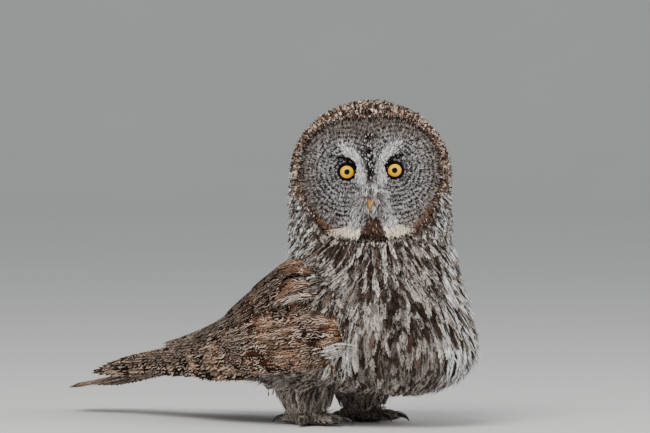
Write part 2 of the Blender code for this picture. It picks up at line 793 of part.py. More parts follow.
def leg(side, collection):
    """The feathered thigh and shank, which the trunk then trims."""
    rings = []
    for t in np.linspace(0, 1, 8):
        height = spread(86, 16.5, t) * MM
        radius_across = float(between(np.array([34, 37, 30, 19]) * MM, 3 * t))
        radius_along = float(between(np.array([44, 46, 34, 19]) * MM, 3 * t))
        back = spread(HIP_BACK, ANKLE_BACK, t)
        x = side * spread(52, LEG_SPACING / 2 / MM, t) * MM
        ring = []
        for k in range(18):
            c, s = turn_of(k, 18)
            ring.append(place((x + radius_across * s, back + radius_along * c, height)))
        rings.append(ring)
    return loft("leg", rings, collection)


def toe(side, degrees, length, collection):
    """A feathered toe: a tapering tube from under the ankle, flat where it rests."""
    turn = math.radians(degrees) * side
    ahead = Vector((math.sin(turn), -math.cos(turn), 0))
    across = Vector((ahead.y, -ahead.x, 0))
    rings = []
    for share in (0, 0.35, 0.7, 0.92, 1.0):
        radius = TOE_RADIUS * (1.05, 1.0, 0.92, 0.76, 0.45)[len(rings)]
        middle = ankle(side) + ahead * (length * share) + Vector((0, 0, TOE_LEVEL))
        middle.z += (0.6 - 1.6 * (share - 0.5) ** 2) * MM
        ring = []
        for k in range(8):
            c, s = turn_of(k + 0.5, 8)
            point = middle + across * (radius * s) + Vector((0, 0, radius * c))
            point.z = max(point.z, 0.0)
            ring.append(point)
        rings.append(ring)
    return loft("toe", rings, collection)


def foot(side, collection):
    rings = []
    for height, radius in ((0.0, 13), (5, 16), (11, 16.5), (16.2, 15)):
        ring = []
        for k in range(14):
            c, s = turn_of(k, 14)
            ring.append(
                ankle(side) + Vector((radius * s, radius * c, height)) * MM
            )
        rings.append(ring)
    base = loft("foot", rings, collection)
    toes = [toe(side, degrees, length * MM, collection) for _, degrees, length in TOES]
    join(base, toes)
    return base


def claw(side, degrees, length, collection, grow=0.0):
    """A curved, tapering claw whose root is set in the toe's end."""
    turn = math.radians(degrees) * side
    ahead = Vector((math.sin(turn), -math.cos(turn), 0))
    across = Vector((ahead.y, -ahead.x, 0))
    start = ankle(side) + ahead * (length - 5 * MM) + Vector((0, 0, 8.2 * MM))
    bend = 12.5 * MM
    rings = []
    for i in range(6):
        arc = math.radians(-14 + 100 * i / 6)
        middle = start + ahead * (bend * 1.15 * (math.sin(arc) + math.sin(math.radians(14))))
        middle.z += bend * (math.cos(arc) - math.cos(math.radians(14))) * 0.62
        tangent = ahead * math.cos(arc) - Vector((0, 0, math.sin(arc)))
        normal = tangent.cross(across)
        radius = 2.9 * MM * (1, 1, 0.88, 0.7, 0.48, 0.24)[i] + grow
        ring = []
        for k in range(8):
            c, s = turn_of(k, 8)
            ring.append(middle + across * (radius * 0.85 * s) + normal * (radius * c))
        rings.append(ring)
    arc = math.radians(86)
    tip = start + ahead * (bend * 1.15 * (math.sin(arc) + math.sin(math.radians(14))))
    tip.z += bend * (math.cos(arc) - math.cos(math.radians(14))) * 0.62
    if grow > 0:
        return loft("claw_cutter", rings, collection)
    return loft("claw", rings, collection, tip=tip)


def centre_on_origin(items):
    """Moves all nodes together so that the origin is on the floor under their box's middle."""
    points = np.array([v.co for item in items for v in item.data.vertices])
    middle = (points.min(axis=0) + points.max(axis=0)) / 2
    shift = Matrix.Translation((-middle[0], -middle[1], -points[:, 2].min()))
    for item in items:
        item.data.transform(shift)


def build():
    clear_scene()
    rng = np.random.default_rng(7)
    bird = new_collection("great_grey_owl")
    cutters = new_collection("cutters", hidden=True)
    work = new_collection("work")
    materials = {
        "crown": make_material("crown_feathers", GREY_BROWN, 0.85),
        "body": make_material("body_feathers", PALE_GREY, 0.9),
        "disc": make_material("disc_feathers", DISC_GREY, 0.9),
        "wing": make_material("wing_feathers", WING_BROWN, 0.8),
        "tail": make_material("tail_feathers", TAIL_BROWN, 0.8),
        "leg": make_material("leg_feathers", LEG_GREY, 0.95),
        "eye": make_material("eye", IRIS_YELLOW, 0.1),
        "lid": make_material("eyelid", LID_BLACK, 0.5),
        "bill": make_material("bill_horn", BILL_YELLOW, 0.4),
        "claw": make_material("claw_horn", CLAW_BLACK, 0.3),
    }
    sides = {"left": 1, "right": -1}

    # Face cutters, each larger than its piece by the gap
    face_hole = disc_hole(cutters)
    eye_holes = [
        ball("eye_hole", EYE_RADIUS + GAP, eye_centre(s), cutters) for s in sides.values()
    ]
    lid_grooves = [lid_ring("lid_groove", s, GAP, cutters) for s in sides.values()]
    bill_hole = horn(
        "bill_hole", BILL_LINE, BILL_HALF_WIDTH, BILL_HALF_DEPTH, cutters, grow=GAP
    )
    lower_bill_hole = horn(
        "lower_bill_hole", LOWER_BILL_LINE, LOWER_BILL_HALF_WIDTH, LOWER_BILL_HALF_DEPTH,
        cutters, grow=GAP,
    )

    head = head_dome(work)
    join(head, ruff_locks(work, rng), "EXACT")
    cut(head, [face_hole])
    dress(head, "head", materials["crown"], bird)

    disc = disc_body(work)
    join(disc, beard_locks(work))
    cut(disc, [*eye_holes, *lid_grooves, bill_hole, lower_bill_hole])
    dress(disc, "facial_disc", materials["disc"], bird)

    for name, side in sides.items():
        eye = ball(f"eye_{name}", EYE_RADIUS, eye_centre(side), work)
        dress(eye, f"eye_{name}", materials["eye"], bird)
        lid = lid_ring("lid", side, 0.0, work)
        dress(lid, f"eyelid_{name}", materials["lid"], bird)

    upper_bill = horn("bill_upper", BILL_LINE, BILL_HALF_WIDTH, BILL_HALF_DEPTH, work)
    nostrils = [
        ball("nostril", NOSTRIL_RADIUS, (s * NOSTRIL[0], -NOSTRIL[1], NOSTRIL[2]), cutters, 8, 6)
        for s in sides.values()
    ]
    cut(upper_bill, nostrils)
    dress(upper_bill, "bill_upper", materials["bill"], bird)
    lower_bill = horn(
        "bill_lower", LOWER_BILL_LINE, LOWER_BILL_HALF_WIDTH, LOWER_BILL_HALF_DEPTH, work
    )
    cut(lower_bill, [bill_hole])
    dress(lower_bill, "bill_lower", materials["bill"], bird)

    trunk_end = len(TRUNK_BACK) - 1
    neck_stations = list(np.linspace(0.0, NECK_BASE, 4))
    torso_stations = list(np.linspace(NECK_BASE + 0.02, trunk_end, 15))
    neck = trunk_piece("neck", neck_stations, work)
    dress(neck, "neck", materials["body"], bird)
    torso = trunk_piece("torso", torso_stations, work)
    dress(torso, "torso", materials["body"], bird)

    cutter_stations = [-0.1, *neck_stations, *torso_stations[:-1], trunk_end + 0.02]
    trunk_cutter = trunk_piece("trunk_cutter", cutter_stations, cutters, grow=1.4 * GAP)
    for name, side in sides.items():
        arm = wing(side, work, rng)
        cut(arm, [trunk_cutter])
        dress(arm, f"wing_{name}", materials["wing"], bird)
        shank = leg(side, work)
        cut(shank, [trunk_cutter])
        dress(shank, f"leg_{name}", materials["leg"], bird)
        pad = foot(side, work)
        holes = [
            claw(side, degrees, length * MM, cutters, grow=GAP) for _, degrees, length in TOES
        ]
        cut(pad, holes)
        dress(pad, f"foot_{name}", materials["leg"], bird)
        for toe_name, degrees, length in TOES:
            nail = claw(side, degrees, length * MM, work)
            dress(nail, f"claw_{toe_name}_{name}", materials["claw"], bird)

    fan = tail(work, rng)
    cut(fan, [trunk_cutter])
    dress(fan, "tail", materials["tail"], bird)

    for item in list(cutters.objects):
        bpy.data.objects.remove(item, do_unlink=True)
    centre_on_origin(list(bird.objects))


build()
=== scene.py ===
import math

import bpy
import numpy as np
from mathutils import Matrix, Vector
from mathutils.bvhtree import BVHTree


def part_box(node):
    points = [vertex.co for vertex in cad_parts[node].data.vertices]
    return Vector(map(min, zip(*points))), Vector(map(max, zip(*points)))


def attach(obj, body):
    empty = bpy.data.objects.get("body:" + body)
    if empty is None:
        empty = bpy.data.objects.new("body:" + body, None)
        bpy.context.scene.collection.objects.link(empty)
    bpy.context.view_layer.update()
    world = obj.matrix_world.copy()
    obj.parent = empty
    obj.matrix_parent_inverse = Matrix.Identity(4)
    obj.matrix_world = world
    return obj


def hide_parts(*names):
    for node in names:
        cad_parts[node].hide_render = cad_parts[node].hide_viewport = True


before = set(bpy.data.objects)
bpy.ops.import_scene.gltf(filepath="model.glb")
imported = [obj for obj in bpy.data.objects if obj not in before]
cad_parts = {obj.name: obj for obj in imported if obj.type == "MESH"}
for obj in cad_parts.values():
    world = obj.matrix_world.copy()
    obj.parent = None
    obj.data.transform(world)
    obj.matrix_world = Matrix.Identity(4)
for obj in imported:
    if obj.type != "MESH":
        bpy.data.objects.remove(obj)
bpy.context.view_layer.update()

rng = np.random.default_rng(11)
mm = 0.001

# Where the head's axis stands, from the two eyes
headTurn, faceRoll = math.radians(-50), math.radians(-2)
eyeCorners = [c for name in ("eye_left", "eye_right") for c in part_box(name)]
eyeMiddle = sum(eyeCorners, Vector()) / 4
headX = eyeMiddle.x + 60.5 * mm * math.sin(math.radians(50))
headY = eyeMiddle.y + 60.5 * mm * math.cos(math.radians(50))


def paint(r, g, b):
    # a colour picked on screen, 0 to 255, as linear values
    return np.array([((c / 255 + 0.055) / 1.055) ** 2.4 if c > 10 else c / 3294 for c in (r, g, b)])


def smooth(low, high, x):
    t = np.clip((x - low) / (high - low), 0, 1)
    return t * t * (3 - 2 * t)


def unit(v):
    return v / np.maximum(np.linalg.norm(v, axis=-1, keepdims=True), 1e-12)


def between(rows, t):
    # smooth values at places t along rows
    rows, t = np.asarray(rows, float), np.asarray(t, float)
    i = np.clip(np.floor(t).astype(int), 0, len(rows) - 2)
    f = t - i
    start, end = rows[i], rows[i + 1]
    before, after = rows[np.maximum(i - 1, 0)], rows[np.minimum(i + 2, len(rows) - 1)]
    first, last = i == 0, i == len(rows) - 2
    if rows.ndim == 2:
        f, first, last = f[..., None], np.asarray(first)[..., None], np.asarray(last)[..., None]
    tangentIn = np.where(first, end - start, (end - before) / 2)
    tangentOut = np.where(last, end - start, (after - start) / 2)
    return (
        (2 * f**3 - 3 * f**2 + 1) * start + (f**3 - 2 * f**2 + f) * tangentIn
        + (3 * f**2 - 2 * f**3) * end + (f**3 - f**2) * tangentOut
    )


def atPlace(places, rows, x):
    return between(rows, np.interp(x, places, np.arange(len(places))))


# The head's form, the same as the frame's: a dome with the dished disc in its front
headForm = {
    "crown": 358 * mm, "widest": 270 * mm, "halfWidth": 90.5 * mm, "front": 90 * mm,
    "behind": 84 * mm, "power": 2.05, "base": 200 * mm,
}
discForm = {
    "level": 274 * mm, "radii": np.array([66, 75, 82, 79.5, 76.5, 76, 67]) * mm,
    "dish": 15 * mm, "eyeSpacing": 52 * mm, "eyeLevel": 281 * mm, "eyeBowl": 7.5 * mm,
    "bowlRadius": 16 * mm, "ridge": 8 * mm, "ridgeWidth": 11 * mm,
}
headFrame = Matrix.Translation((headX, headY, 0)) @ Matrix.Rotation(headTurn, 4, "Z")
discMiddle = Matrix.Translation((0, 0, discForm["level"]))
faceFrame = headFrame @ discMiddle @ Matrix.Rotation(faceRoll, 4, "Y") @ discMiddle.inverted()
fromFaceMatrix = np.array(faceFrame)
toFaceMatrix = np.array(faceFrame.inverted())


def toFace(points):
    return points @ toFaceMatrix[:3, :3].T + toFaceMatrix[:3, 3]


def fromFace(points):
    return points @ fromFaceMatrix[:3, :3].T + fromFaceMatrix[:3, 3]


def domeScale(height):
    up = np.clip((height - headForm["widest"]) / (headForm["crown"] - headForm["widest"]), 0, 1)
    return np.maximum(0, 1 - up ** headForm["power"]) ** (1 / headForm["power"])


def domeFront(x, height):
    scale = np.maximum(domeScale(height), 1e-6)
    share = np.minimum(1, np.abs(x) / (headForm["halfWidth"] * scale))
    return headForm["front"] * scale * np.sqrt(np.maximum(0, 1 - share**2))


def discRadius(angle):
    turned = np.abs((angle + np.pi) % (2 * np.pi) - np.pi)
    return between(discForm["radii"], turned / math.radians(30))


def discShare(x, height):
    # 0 at the disc's middle, 1 on its rim
    rise = height - discForm["level"]
    return np.hypot(x, rise) / discRadius(np.arctan2(x, rise))


def discDepth(x, height):
    # how far forward the dish lies
    share = np.minimum(1, discShare(x, height))
    forward = domeFront(x, height) - discForm["dish"] * (1 - share**3)
    for side in (-1, 1):
        away = np.hypot(x - side * discForm["eyeSpacing"] / 2, height - discForm["eyeLevel"])
        forward = forward - discForm["eyeBowl"] * np.exp(-((away / discForm["bowlRadius"]) ** 2))
    ridge = np.exp(-((x / discForm["ridgeWidth"]) ** 2)) * (1 - share**4)
    return forward + discForm["ridge"] * ridge


# The trunk's form: back line, breast and belly line, and half width, by stations
trunkForm = {
    "back": np.array([(88, 200), (90, 187), (97, 177), (112, 166), (128, 154), (146, 141),
                      (168, 124), (195, 107), (228, 94), (262, 82), (292, 72)]) * mm,
    "front": np.array([(-91, 200), (-98, 172), (-107, 140), (-119, 104), (-120, 66), (-78, 43),
                       (-10, 41), (74, 44), (146, 48), (210, 52), (254, 55)]) * mm,
    "halfWidth": np.array([90, 92, 98, 104, 107, 106, 100, 87, 65, 41, 24]) * mm,
}
# The folded wing's sheet round the flank, by millimetres behind the head's axis
wingForm = {
    "places": np.array([-42, -10, 40, 100, 160, 220, 290, 400]) * mm,
    "halfWidth": np.array([99.5, 110, 114, 108, 95, 75, 51, 24]) * mm,
    "level": np.array([105, 103, 96, 88, 80, 74, 66, 49]) * mm,
    "rise": np.array([150, 148, 118, 80, 44, 25, 16, 10]) * mm,
    "lowEdge": np.array([88, 69, 57, 49, 44, 41, 38, 34]) * mm,
    "lowAngle": 115.0,
    "tops": ((-42, -10, 40, 100, 168), (84, 66, 52, 46, 48)),
}


def inBird(x, back, height):
    return np.stack(np.broadcast_arrays(headX + x, headY + back, height), axis=-1)


def trunkRing(t, grow, sides=72):
    back, front = between(trunkForm["back"], t), between(trunkForm["front"], t)
    halfWidth = between(trunkForm["halfWidth"], t) + grow
    middle, half = (back + front) / 2, (back - front) / 2
    half = half * (1 + grow / np.linalg.norm(half))
    turn = np.linspace(0, 2 * np.pi, sides, endpoint=False)
    c, s = np.cos(turn), np.sin(turn)
    return inBird(halfWidth * s, middle[0] + half[0] * c, middle[1] + half[1] * c)


def wingSheet(back, angle, lift, side):
    # points of the sheet and their outward normals; angle in degrees from straight up
    back, angle = np.asarray(back, float), np.asarray(angle, float)
    halfWidth = atPlace(wingForm["places"], wingForm["halfWidth"], back) + lift
    level = atPlace(wingForm["places"], wingForm["level"], back)
    c, s = np.cos(np.radians(angle)), np.sin(np.radians(angle))
    low = atPlace(wingForm["places"], wingForm["lowEdge"], back)
    under = (level - low) / -math.cos(math.radians(wingForm["lowAngle"]))
    rise = np.where(c > 0, atPlace(wingForm["places"], wingForm["rise"], back), under)
    points = inBird(side * halfWidth * s, back, level + (rise + lift) * c)
    normals = np.stack(np.broadcast_arrays(side * s * rise, 0 * s, c * halfWidth), axis=-1)
    return points, unit(normals)


def wingCoordinates(points):
    # place, angle and closeness to the sheet (1 on it) of any points
    back = points[:, 1] - headY
    x = points[:, 0] - headX
    halfWidth = atPlace(wingForm["places"], wingForm["halfWidth"], back)
    level = atPlace(wingForm["places"], wingForm["level"], back)
    up = points[:, 2] - level
    low = atPlace(wingForm["places"], wingForm["lowEdge"], back)
    under = (level - low) / -math.cos(math.radians(wingForm["lowAngle"]))
    rise = np.where(up > 0, atPlace(wingForm["places"], wingForm["rise"], back), under)
    angle = np.degrees(np.arctan2(np.abs(x) / halfWidth, up / rise))
    return back, angle, np.hypot(x / halfWidth, up / rise)


# Meshes are gathered as arrays and made in one go
def newPiece(name, vertices, faces, material):
    mesh = bpy.data.meshes.new(name)
    vertices = np.asarray(vertices, np.float32)
    mesh.vertices.add(len(vertices))
    mesh.vertices.foreach_set("co", vertices.ravel())
    sizes = np.array([len(f) for f in faces]) if isinstance(faces, list) else None
    if sizes is None:
        sizes = np.full(len(faces), faces.shape[1])
        corners = faces.ravel()
    else:
        corners = np.concatenate([np.asarray(f) for f in faces])
    mesh.loops.add(len(corners))
    mesh.loops.foreach_set("vertex_index", corners.astype(np.int32))
    mesh.polygons.add(len(sizes))
    mesh.polygons.foreach_set("loop_start", np.concatenate([[0], np.cumsum(sizes)[:-1]]).astype(np.int32))
    mesh.polygons.foreach_set("loop_total", sizes.astype(np.int32))
    mesh.update(calc_edges=True)
    mesh.validate()
    mesh.shade_smooth()
    made = bpy.data.objects.new(name, mesh)
    bpy.context.scene.collection.objects.link(made)
    if material:
        mesh.materials.append(material)
        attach(made, "root")
    return made


def addPoints(piece, label, values, kind="FLOAT_VECTOR"):
    field = piece.data.attributes.new(label, kind, "POINT")
    values = np.asarray(values, np.float32)
    if kind == "FLOAT_COLOR":
        values = np.concatenate([values, np.ones((len(values), 1), np.float32)], axis=1)
        field.data.foreach_set("color", values.ravel())
    else:
        field.data.foreach_set("vector", values.ravel())


def addBakeMap(piece, perPoint):
    layer = piece.data.uv_layers.new(name="OFBake")
    corners = np.empty(len(piece.data.loops), np.int32)
    piece.data.loops.foreach_get("vertex_index", corners)
    layer.uv.foreach_set("vector", np.asarray(perPoint, np.float32)[corners].ravel())


# The skin: each fleshy form drawn in by the coat's depth, then all of them joined
skinLook = {
    "bodyCoat": 6.5 * mm, "headCoat": 3.6 * mm, "faceCoat": 2.6 * mm, "legCoat": 4.0 * mm,
    "toeCoat": 1.3 * mm, "wingCoat": 3.5 * mm, "voxel": 2.3 * mm, "smoothing": 5,
}
legForm = {
    "spacing": 94 * mm, "ankleBack": 52 * mm, "hipBack": 62 * mm, "toeRadius": 8 * mm,
    "toeLevel": 6.5 * mm, "across": np.array([34, 37, 30, 19]) * mm,
    "along": np.array([44, 46, 34, 19]) * mm,
    "toes": (("inner", -14, 44), ("middle", 12, 47), ("outer", 58, 42), ("hind", 176, 34)),
}


def domeSkin():
    levels = np.concatenate([np.linspace(184, 268, 40), 270 + 88 * np.sin(np.radians(np.linspace(0, 89.4, 50)))]) * mm
    turn = np.linspace(0, 2 * np.pi, 180, endpoint=False)
    rings = []
    for height in levels:
        scale = domeScale(height)
        below = max(0.0, (headForm["widest"] - height) / (headForm["widest"] - headForm["base"]))
        reach = np.where(np.cos(turn) > 0, headForm["front"] + 2 * mm * below, headForm["behind"] + 4 * mm * below)
        x, y = headForm["halfWidth"] * scale * np.sin(turn), -reach * scale * np.cos(turn)
        rise = headForm["crown"] - headForm["widest"]
        up = max(0.0, (height - headForm["widest"]) / rise)
        normal = unit(np.stack([x / headForm["halfWidth"] ** 2, y / reach**2, np.full(len(x), up ** 1.05 / rise)], axis=1))
        ring = np.stack([x, y, np.full(len(x), height)], axis=1)
        c, s = math.cos(faceRoll), math.sin(faceRoll)
        faceX = c * x - s * (height - discForm["level"])
        faceUp = s * x + c * (height - discForm["level"]) + discForm["level"]
        inside = (y < -34 * mm) & (discShare(faceX, faceUp) < 1) & (faceUp > 200 * mm)
        ring -= normal * skinLook["headCoat"]
        dish = -(discDepth(faceX, faceUp) - skinLook["faceCoat"])
        ring[inside] = np.stack([x, dish, np.full(len(x), height)], axis=1)[inside]
        rings.append(ring)
    frameMatrix = np.array(headFrame)
    return [r @ frameMatrix[:3, :3].T + frameMatrix[:3, 3] for r in rings]


def trunkSkin():
    rings = []
    for t in np.linspace(-0.12, 10, 80):
        depth = skinLook["headCoat"] + (skinLook["bodyCoat"] - skinLook["headCoat"]) * float(smooth(0, 2, t))
        rings.append(trunkRing(t, -depth))
    return rings


def tailRootSkin():
    turn = np.linspace(0, 2 * np.pi, 32, endpoint=False)
    rings = []
    for t, halfWidth, halfDepth in ((-0.5, 19, 10), (0, 19, 7), (0.35, 19, 6), (0.7, 17, 5), (1, 13, 3)):
        rings.append(inBird(halfWidth * mm * np.sin(turn), (262 + 55 * t) * mm, (62 - 9 * t + halfDepth * np.cos(turn)) * mm))
    return rings


def legCentre(side, t):
    across = side * (52 + (legForm["spacing"] / 2 / mm - 52) * t) * mm
    return across, legForm["hipBack"] + (legForm["ankleBack"] - legForm["hipBack"]) * t


def legSkin(side):
    turn = np.linspace(0, 2 * np.pi, 48, endpoint=False)
    rings = []
    for t in np.linspace(0, 1, 14):
        x, back = legCentre(side, t)
        across = between(legForm["across"], 3 * t) - skinLook["legCoat"]
        along = between(legForm["along"], 3 * t) - skinLook["legCoat"]
        rings.append(inBird(x + across * np.sin(turn), back + along * np.cos(turn), (84 - 72 * t) * mm))
    return rings


def toeLine(side, degrees):
    turn = math.radians(degrees) * side
    return np.array([math.sin(turn), -math.cos(turn), 0])


def ankle(side):
    return np.array([headX + side * legForm["spacing"] / 2, headY + legForm["ankleBack"], 0])


def toeSkin(side, degrees, length):
    ahead = toeLine(side, degrees)
    across = np.array([ahead[1], -ahead[0], 0])
    turn = np.linspace(0, 2 * np.pi, 28, endpoint=False)
    rings = []
    for share in (0, 0.2, 0.35, 0.5, 0.7, 0.85, 0.95, 1.0):
        swell = 1 + 0.07 * math.cos(share * 19)
        radius = legForm["toeRadius"] * np.interp(share, (0, 0.35, 0.7, 0.92, 1), (1.05, 1, 0.92, 0.76, 0.5)) * swell - skinLook["toeCoat"]
        middle = ankle(side) + ahead * length * mm * share
        height = legForm["toeLevel"] + (0.6 - 1.6 * (share - 0.5) ** 2) * mm
        ring = middle + across * radius * np.sin(turn)[:, None]
        ring[:, 2] = np.maximum(height + radius * np.cos(turn), 0.0)
        rings.append(ring)
    return rings


def footSkin(side):
    turn = np.linspace(0, 2 * np.pi, 40, endpoint=False)
    rings = []
    for height, radius in ((0, 13), (5, 15.5), (11, 16), (20, 14.5)):
        ring = ankle(side) + (radius - 1) * mm * np.stack([np.sin(turn), np.cos(turn), 0 * turn], axis=1)
        ring[:, 2] = height * mm
        rings.append(ring)
    return rings


def wingPadSkin(side):
    # the folded arm as a shallow closed plate on the wing's sheet
    backs = np.linspace(-42, 168, 44) * mm
    shares = np.linspace(0, 1, 26)
    rings = []
    for back in backs:
        top = np.interp(back / mm, *wingForm["tops"])
        low = wingForm["lowAngle"] - 2 - 14 * max(0.0, back / (168 * mm)) ** 2
        angle = top + (low - top) * shares
        reach = min(1.0, (168 * mm - back) / (40 * mm) + 0.15)
        inset = 1 - (2 * shares - 1) ** 6
        outer = wingSheet(back, angle, 1.5 * mm * inset * reach - skinLook["wingCoat"], side)[0]
        inner = wingSheet(back, angle[::-1], -9 * mm * reach - skinLook["wingCoat"] - 1 * mm, side)[0]
        rings.append(np.concatenate([outer, inner]))
    return rings


def makeSkin():
    bodies = [domeSkin(), trunkSkin(), tailRootSkin()]
    for side in (-1, 1):
        bodies += [legSkin(side), footSkin(side), wingPadSkin(side)]
        bodies += [toeSkin(side, degrees, length) for _, degrees, length in legForm["toes"]]
    vertices, faces, start = [], [], 0
    for rings in bodies:
        count = len(rings[0])
        for i in range(len(rings) - 1):
            a = start + i * count + np.arange(count)
            b = start + i * count + (np.arange(count) + 1) % count
            faces += np.stack([a, b, b + count, a + count], axis=1).tolist()
        faces.append(list(range(start, start + count))[::-1])
        last = start + (len(rings) - 1) * count
        faces.append(list(range(last, last + count)))
        vertices += rings
        start += len(rings) * count
    rough = newPiece("skinForms", np.concatenate(vertices), faces, None)
    remesh = rough.modifiers.new("join", "REMESH")
    remesh.mode = "VOXEL"
    remesh.voxel_size = skinLook["voxel"]
    soften = rough.modifiers.new("soften", "SMOOTH")
    soften.factor, soften.iterations = 0.5, skinLook["smoothing"]
    graph = bpy.context.evaluated_depsgraph_get()
    mesh = bpy.data.meshes.new_from_object(rough.evaluated_get(graph))
    bpy.data.objects.remove(rough, do_unlink=True)
    return mesh


print("skin")
skinMesh = makeSkin()
skinPoints = np.empty(len(skinMesh.vertices) * 3)
skinMesh.vertices.foreach_get("co", skinPoints)
skinPoints = skinPoints.reshape(-1, 3)
skinMesh.calc_loop_triangles()
skinTriangles = np.empty(len(skinMesh.loop_triangles) * 3, np.int32)
skinMesh.loop_triangles.foreach_get("vertices", skinTriangles)
skinTriangles = skinTriangles.reshape(-1, 3)
corner = skinPoints[skinTriangles]
faceCross = np.cross(corner[:, 1] - corner[:, 0], corner[:, 2] - corner[:, 0])
skinNormals = np.zeros_like(skinPoints)
for k in range(3):
    np.add.at(skinNormals, skinTriangles[:, k], faceCross)
skinNormals = unit(skinNormals)
triangleNormals = unit(skinNormals[skinTriangles].sum(axis=1))
skinTree = BVHTree.FromPolygons(skinPoints.tolist(), skinTriangles.tolist())
print("skin has", len(skinTriangles), "triangles")


def nearestOnSkin(points):
    spots, rows = [], []
    for p in points.tolist():
        spot, _, row, _ = skinTree.find_nearest(p)
        spots.append(spot)
        rows.append(row)
    return np.array(spots), triangleNormals[np.array(rows)]


# Which part of the bird a point belongs to
partNames = ("disc", "head", "neck", "body", "wing", "leg", "foot", "bare", "throat")


def partOf(points, normals):
    face = toFace(points)
    x, back, z = points[:, 0] - headX, points[:, 1] - headY, points[:, 2]
    share = discShare(face[:, 0], face[:, 2])
    part = np.full(len(points), 3)
    part[z < 48 * mm] = 3
    part[(z > 128 * mm) & (back < 12 * mm)] = 8
    part[z > 168 * mm] = 2
    part[z > 204 * mm] = 1
    inDisc = (-face[:, 1] > 33 * mm) & (share < 0.995) & (z > 196 * mm)
    part[inDisc] = 0
    place, angle, close = wingCoordinates(points)
    top = np.interp(place / mm, *wingForm["tops"])
    onWing = (place > -40 * mm) & (place < 180 * mm) & (angle > top - 2) & (angle < 116) & (close > 0.84) & (z < 168 * mm)
    # the neck's feathers lie over the front of the shoulder
    shoulder = (z > 140 * mm) & (back < 36 * mm - (172 * mm - z) * 1.75)
    part[onWing] = 4
    part[onWing & shoulder] = 2
    for side in (-1, 1):
        t = np.clip((84 * mm - z) / (72 * mm), 0, 1)
        legX, legBack = legCentre(side, t)
        across = np.interp(t * 3, range(4), legForm["across"])
        along = np.interp(t * 3, range(4), legForm["along"])
        near = np.hypot((x - legX) / across, (back - legBack) / along)
        part[(near < 1.08) & (z < 46 * mm) & (z > 14 * mm)] = 5
    foot = (z <= 15 * mm) & (back < 110 * mm) & (back > -20 * mm)
    part[foot] = 6
    part[foot & (normals[:, 2] < -0.35)] = 7
    return part


def tangentTo(vectors, normals):
    return unit(vectors - normals * np.sum(vectors * normals, axis=1, keepdims=True))


def lieOfCoat(points, normals):
    # the way the feathers point, over the whole bird except the disc
    face = toFace(points)
    x, back, z = points[:, 0] - headX, points[:, 1] - headY, points[:, 2]
    zero = np.zeros(len(points))
    rear = smooth(-75 * mm, 55 * mm, back)
    body = np.stack([zero, rear, -(1 - 0.70 * rear)], axis=1)
    # the upper breast fans out to both sides below the chin
    fan = np.clip(face[:, 0] / (60 * mm), -1, 1) * smooth(115 * mm, 188 * mm, z) * (1 - rear)
    sideways = fromFaceMatrix[:3, 0]
    body = body + 0.55 * fan[:, None] * sideways
    # the head: away from the disc and back over the crown, then down the nape
    middle = np.hypot(face[:, 0], face[:, 2] - discForm["level"]) + 1e-6
    away = np.stack([0.55 * face[:, 0] / middle, np.full(len(points), 0.85), 0.45 * (face[:, 2] - discForm["level"]) / middle], axis=1)
    # below the cheeks they run down the neck and a little outwards
    down = smooth(278 * mm, 232 * mm, z)[:, None]
    away = away * (1 - down) + np.stack([0.4 * face[:, 0] / middle, zero + 0.3, zero - 1.0], axis=1) * down
    nape = smooth(-15 * mm, 60 * mm, face[:, 1])[:, None]
    crown = smooth(300 * mm, 350 * mm, z)[:, None]
    nape = nape * (1 - 0.6 * crown)
    head = away * (1 - nape) + np.array([0, 0.15, -1.0]) * nape
    chin = (smooth(226 * mm, 202 * mm, face[:, 2]) * smooth(-20 * mm, 20 * mm, -face[:, 1]))[:, None]
    head = head * (1 - chin) + np.stack([0.6 * face[:, 0] / (70 * mm), zero + 0.1, zero - 1.0], axis=1) * chin
    head = head @ fromFaceMatrix[:3, :3].T
    share = smooth(186 * mm, 222 * mm, z)[:, None]
    out = body * (1 - share) + head * share
    legs = (z < 44 * mm) & (np.abs(x) > 18 * mm) & (back > -10 * mm) & (back < 112 * mm)
    out[legs] = np.array([0, 0.05, -1.0])
    feet = (z < 15.5 * mm) & (back < 110 * mm)
    for side in (-1, 1):
        mine = feet & (np.sign(x) == side)
        away = points[mine] - ankle(side)
        away[:, 2] = -0.002
        out[mine] = unit(away)
    return tangentTo(out, normals)


def walk(roots, normals, lengths, steps, swerve):
    # follows the lie of the coat from each root and stays on the skin
    here, up = roots, normals
    path, ups, heading = [here], [up], None
    for _ in range(steps):
        ahead = lieOfCoat(here, up)
        ahead = ahead * np.cos(swerve)[:, None] + np.cross(up, ahead) * np.sin(swerve)[:, None]
        if heading is not None:
            ahead = tangentTo(ahead + 0.8 * heading, up)
        heading = ahead
        here, up = nearestOnSkin(here + ahead * (lengths / steps)[:, None])
        path.append(here)
        ups.append(up)
    return np.stack(path, axis=1), np.stack(ups, axis=1)


def thin(points, apart):
    # leaves out points nearer than apart to one already taken
    cells, taken = {}, []
    keys = np.floor(points / apart).astype(int).tolist()
    places = points.tolist()
    limit = apart * apart
    around = [(a, b, c) for a in (-1, 0, 1) for b in (-1, 0, 1) for c in (-1, 0, 1)]
    for i, (key, p) in enumerate(zip(keys, places)):
        free = True
        for a, b, c in around:
            for q in cells.get((key[0] + a, key[1] + b, key[2] + c), ()):
                if (p[0] - q[0]) ** 2 + (p[1] - q[1]) ** 2 + (p[2] - q[2]) ** 2 < limit:
                    free = False
                    break
            if not free:
                break
        if free:
            cells.setdefault(tuple(key), []).append(p)
            taken.append(i)
    return np.array(taken, int)


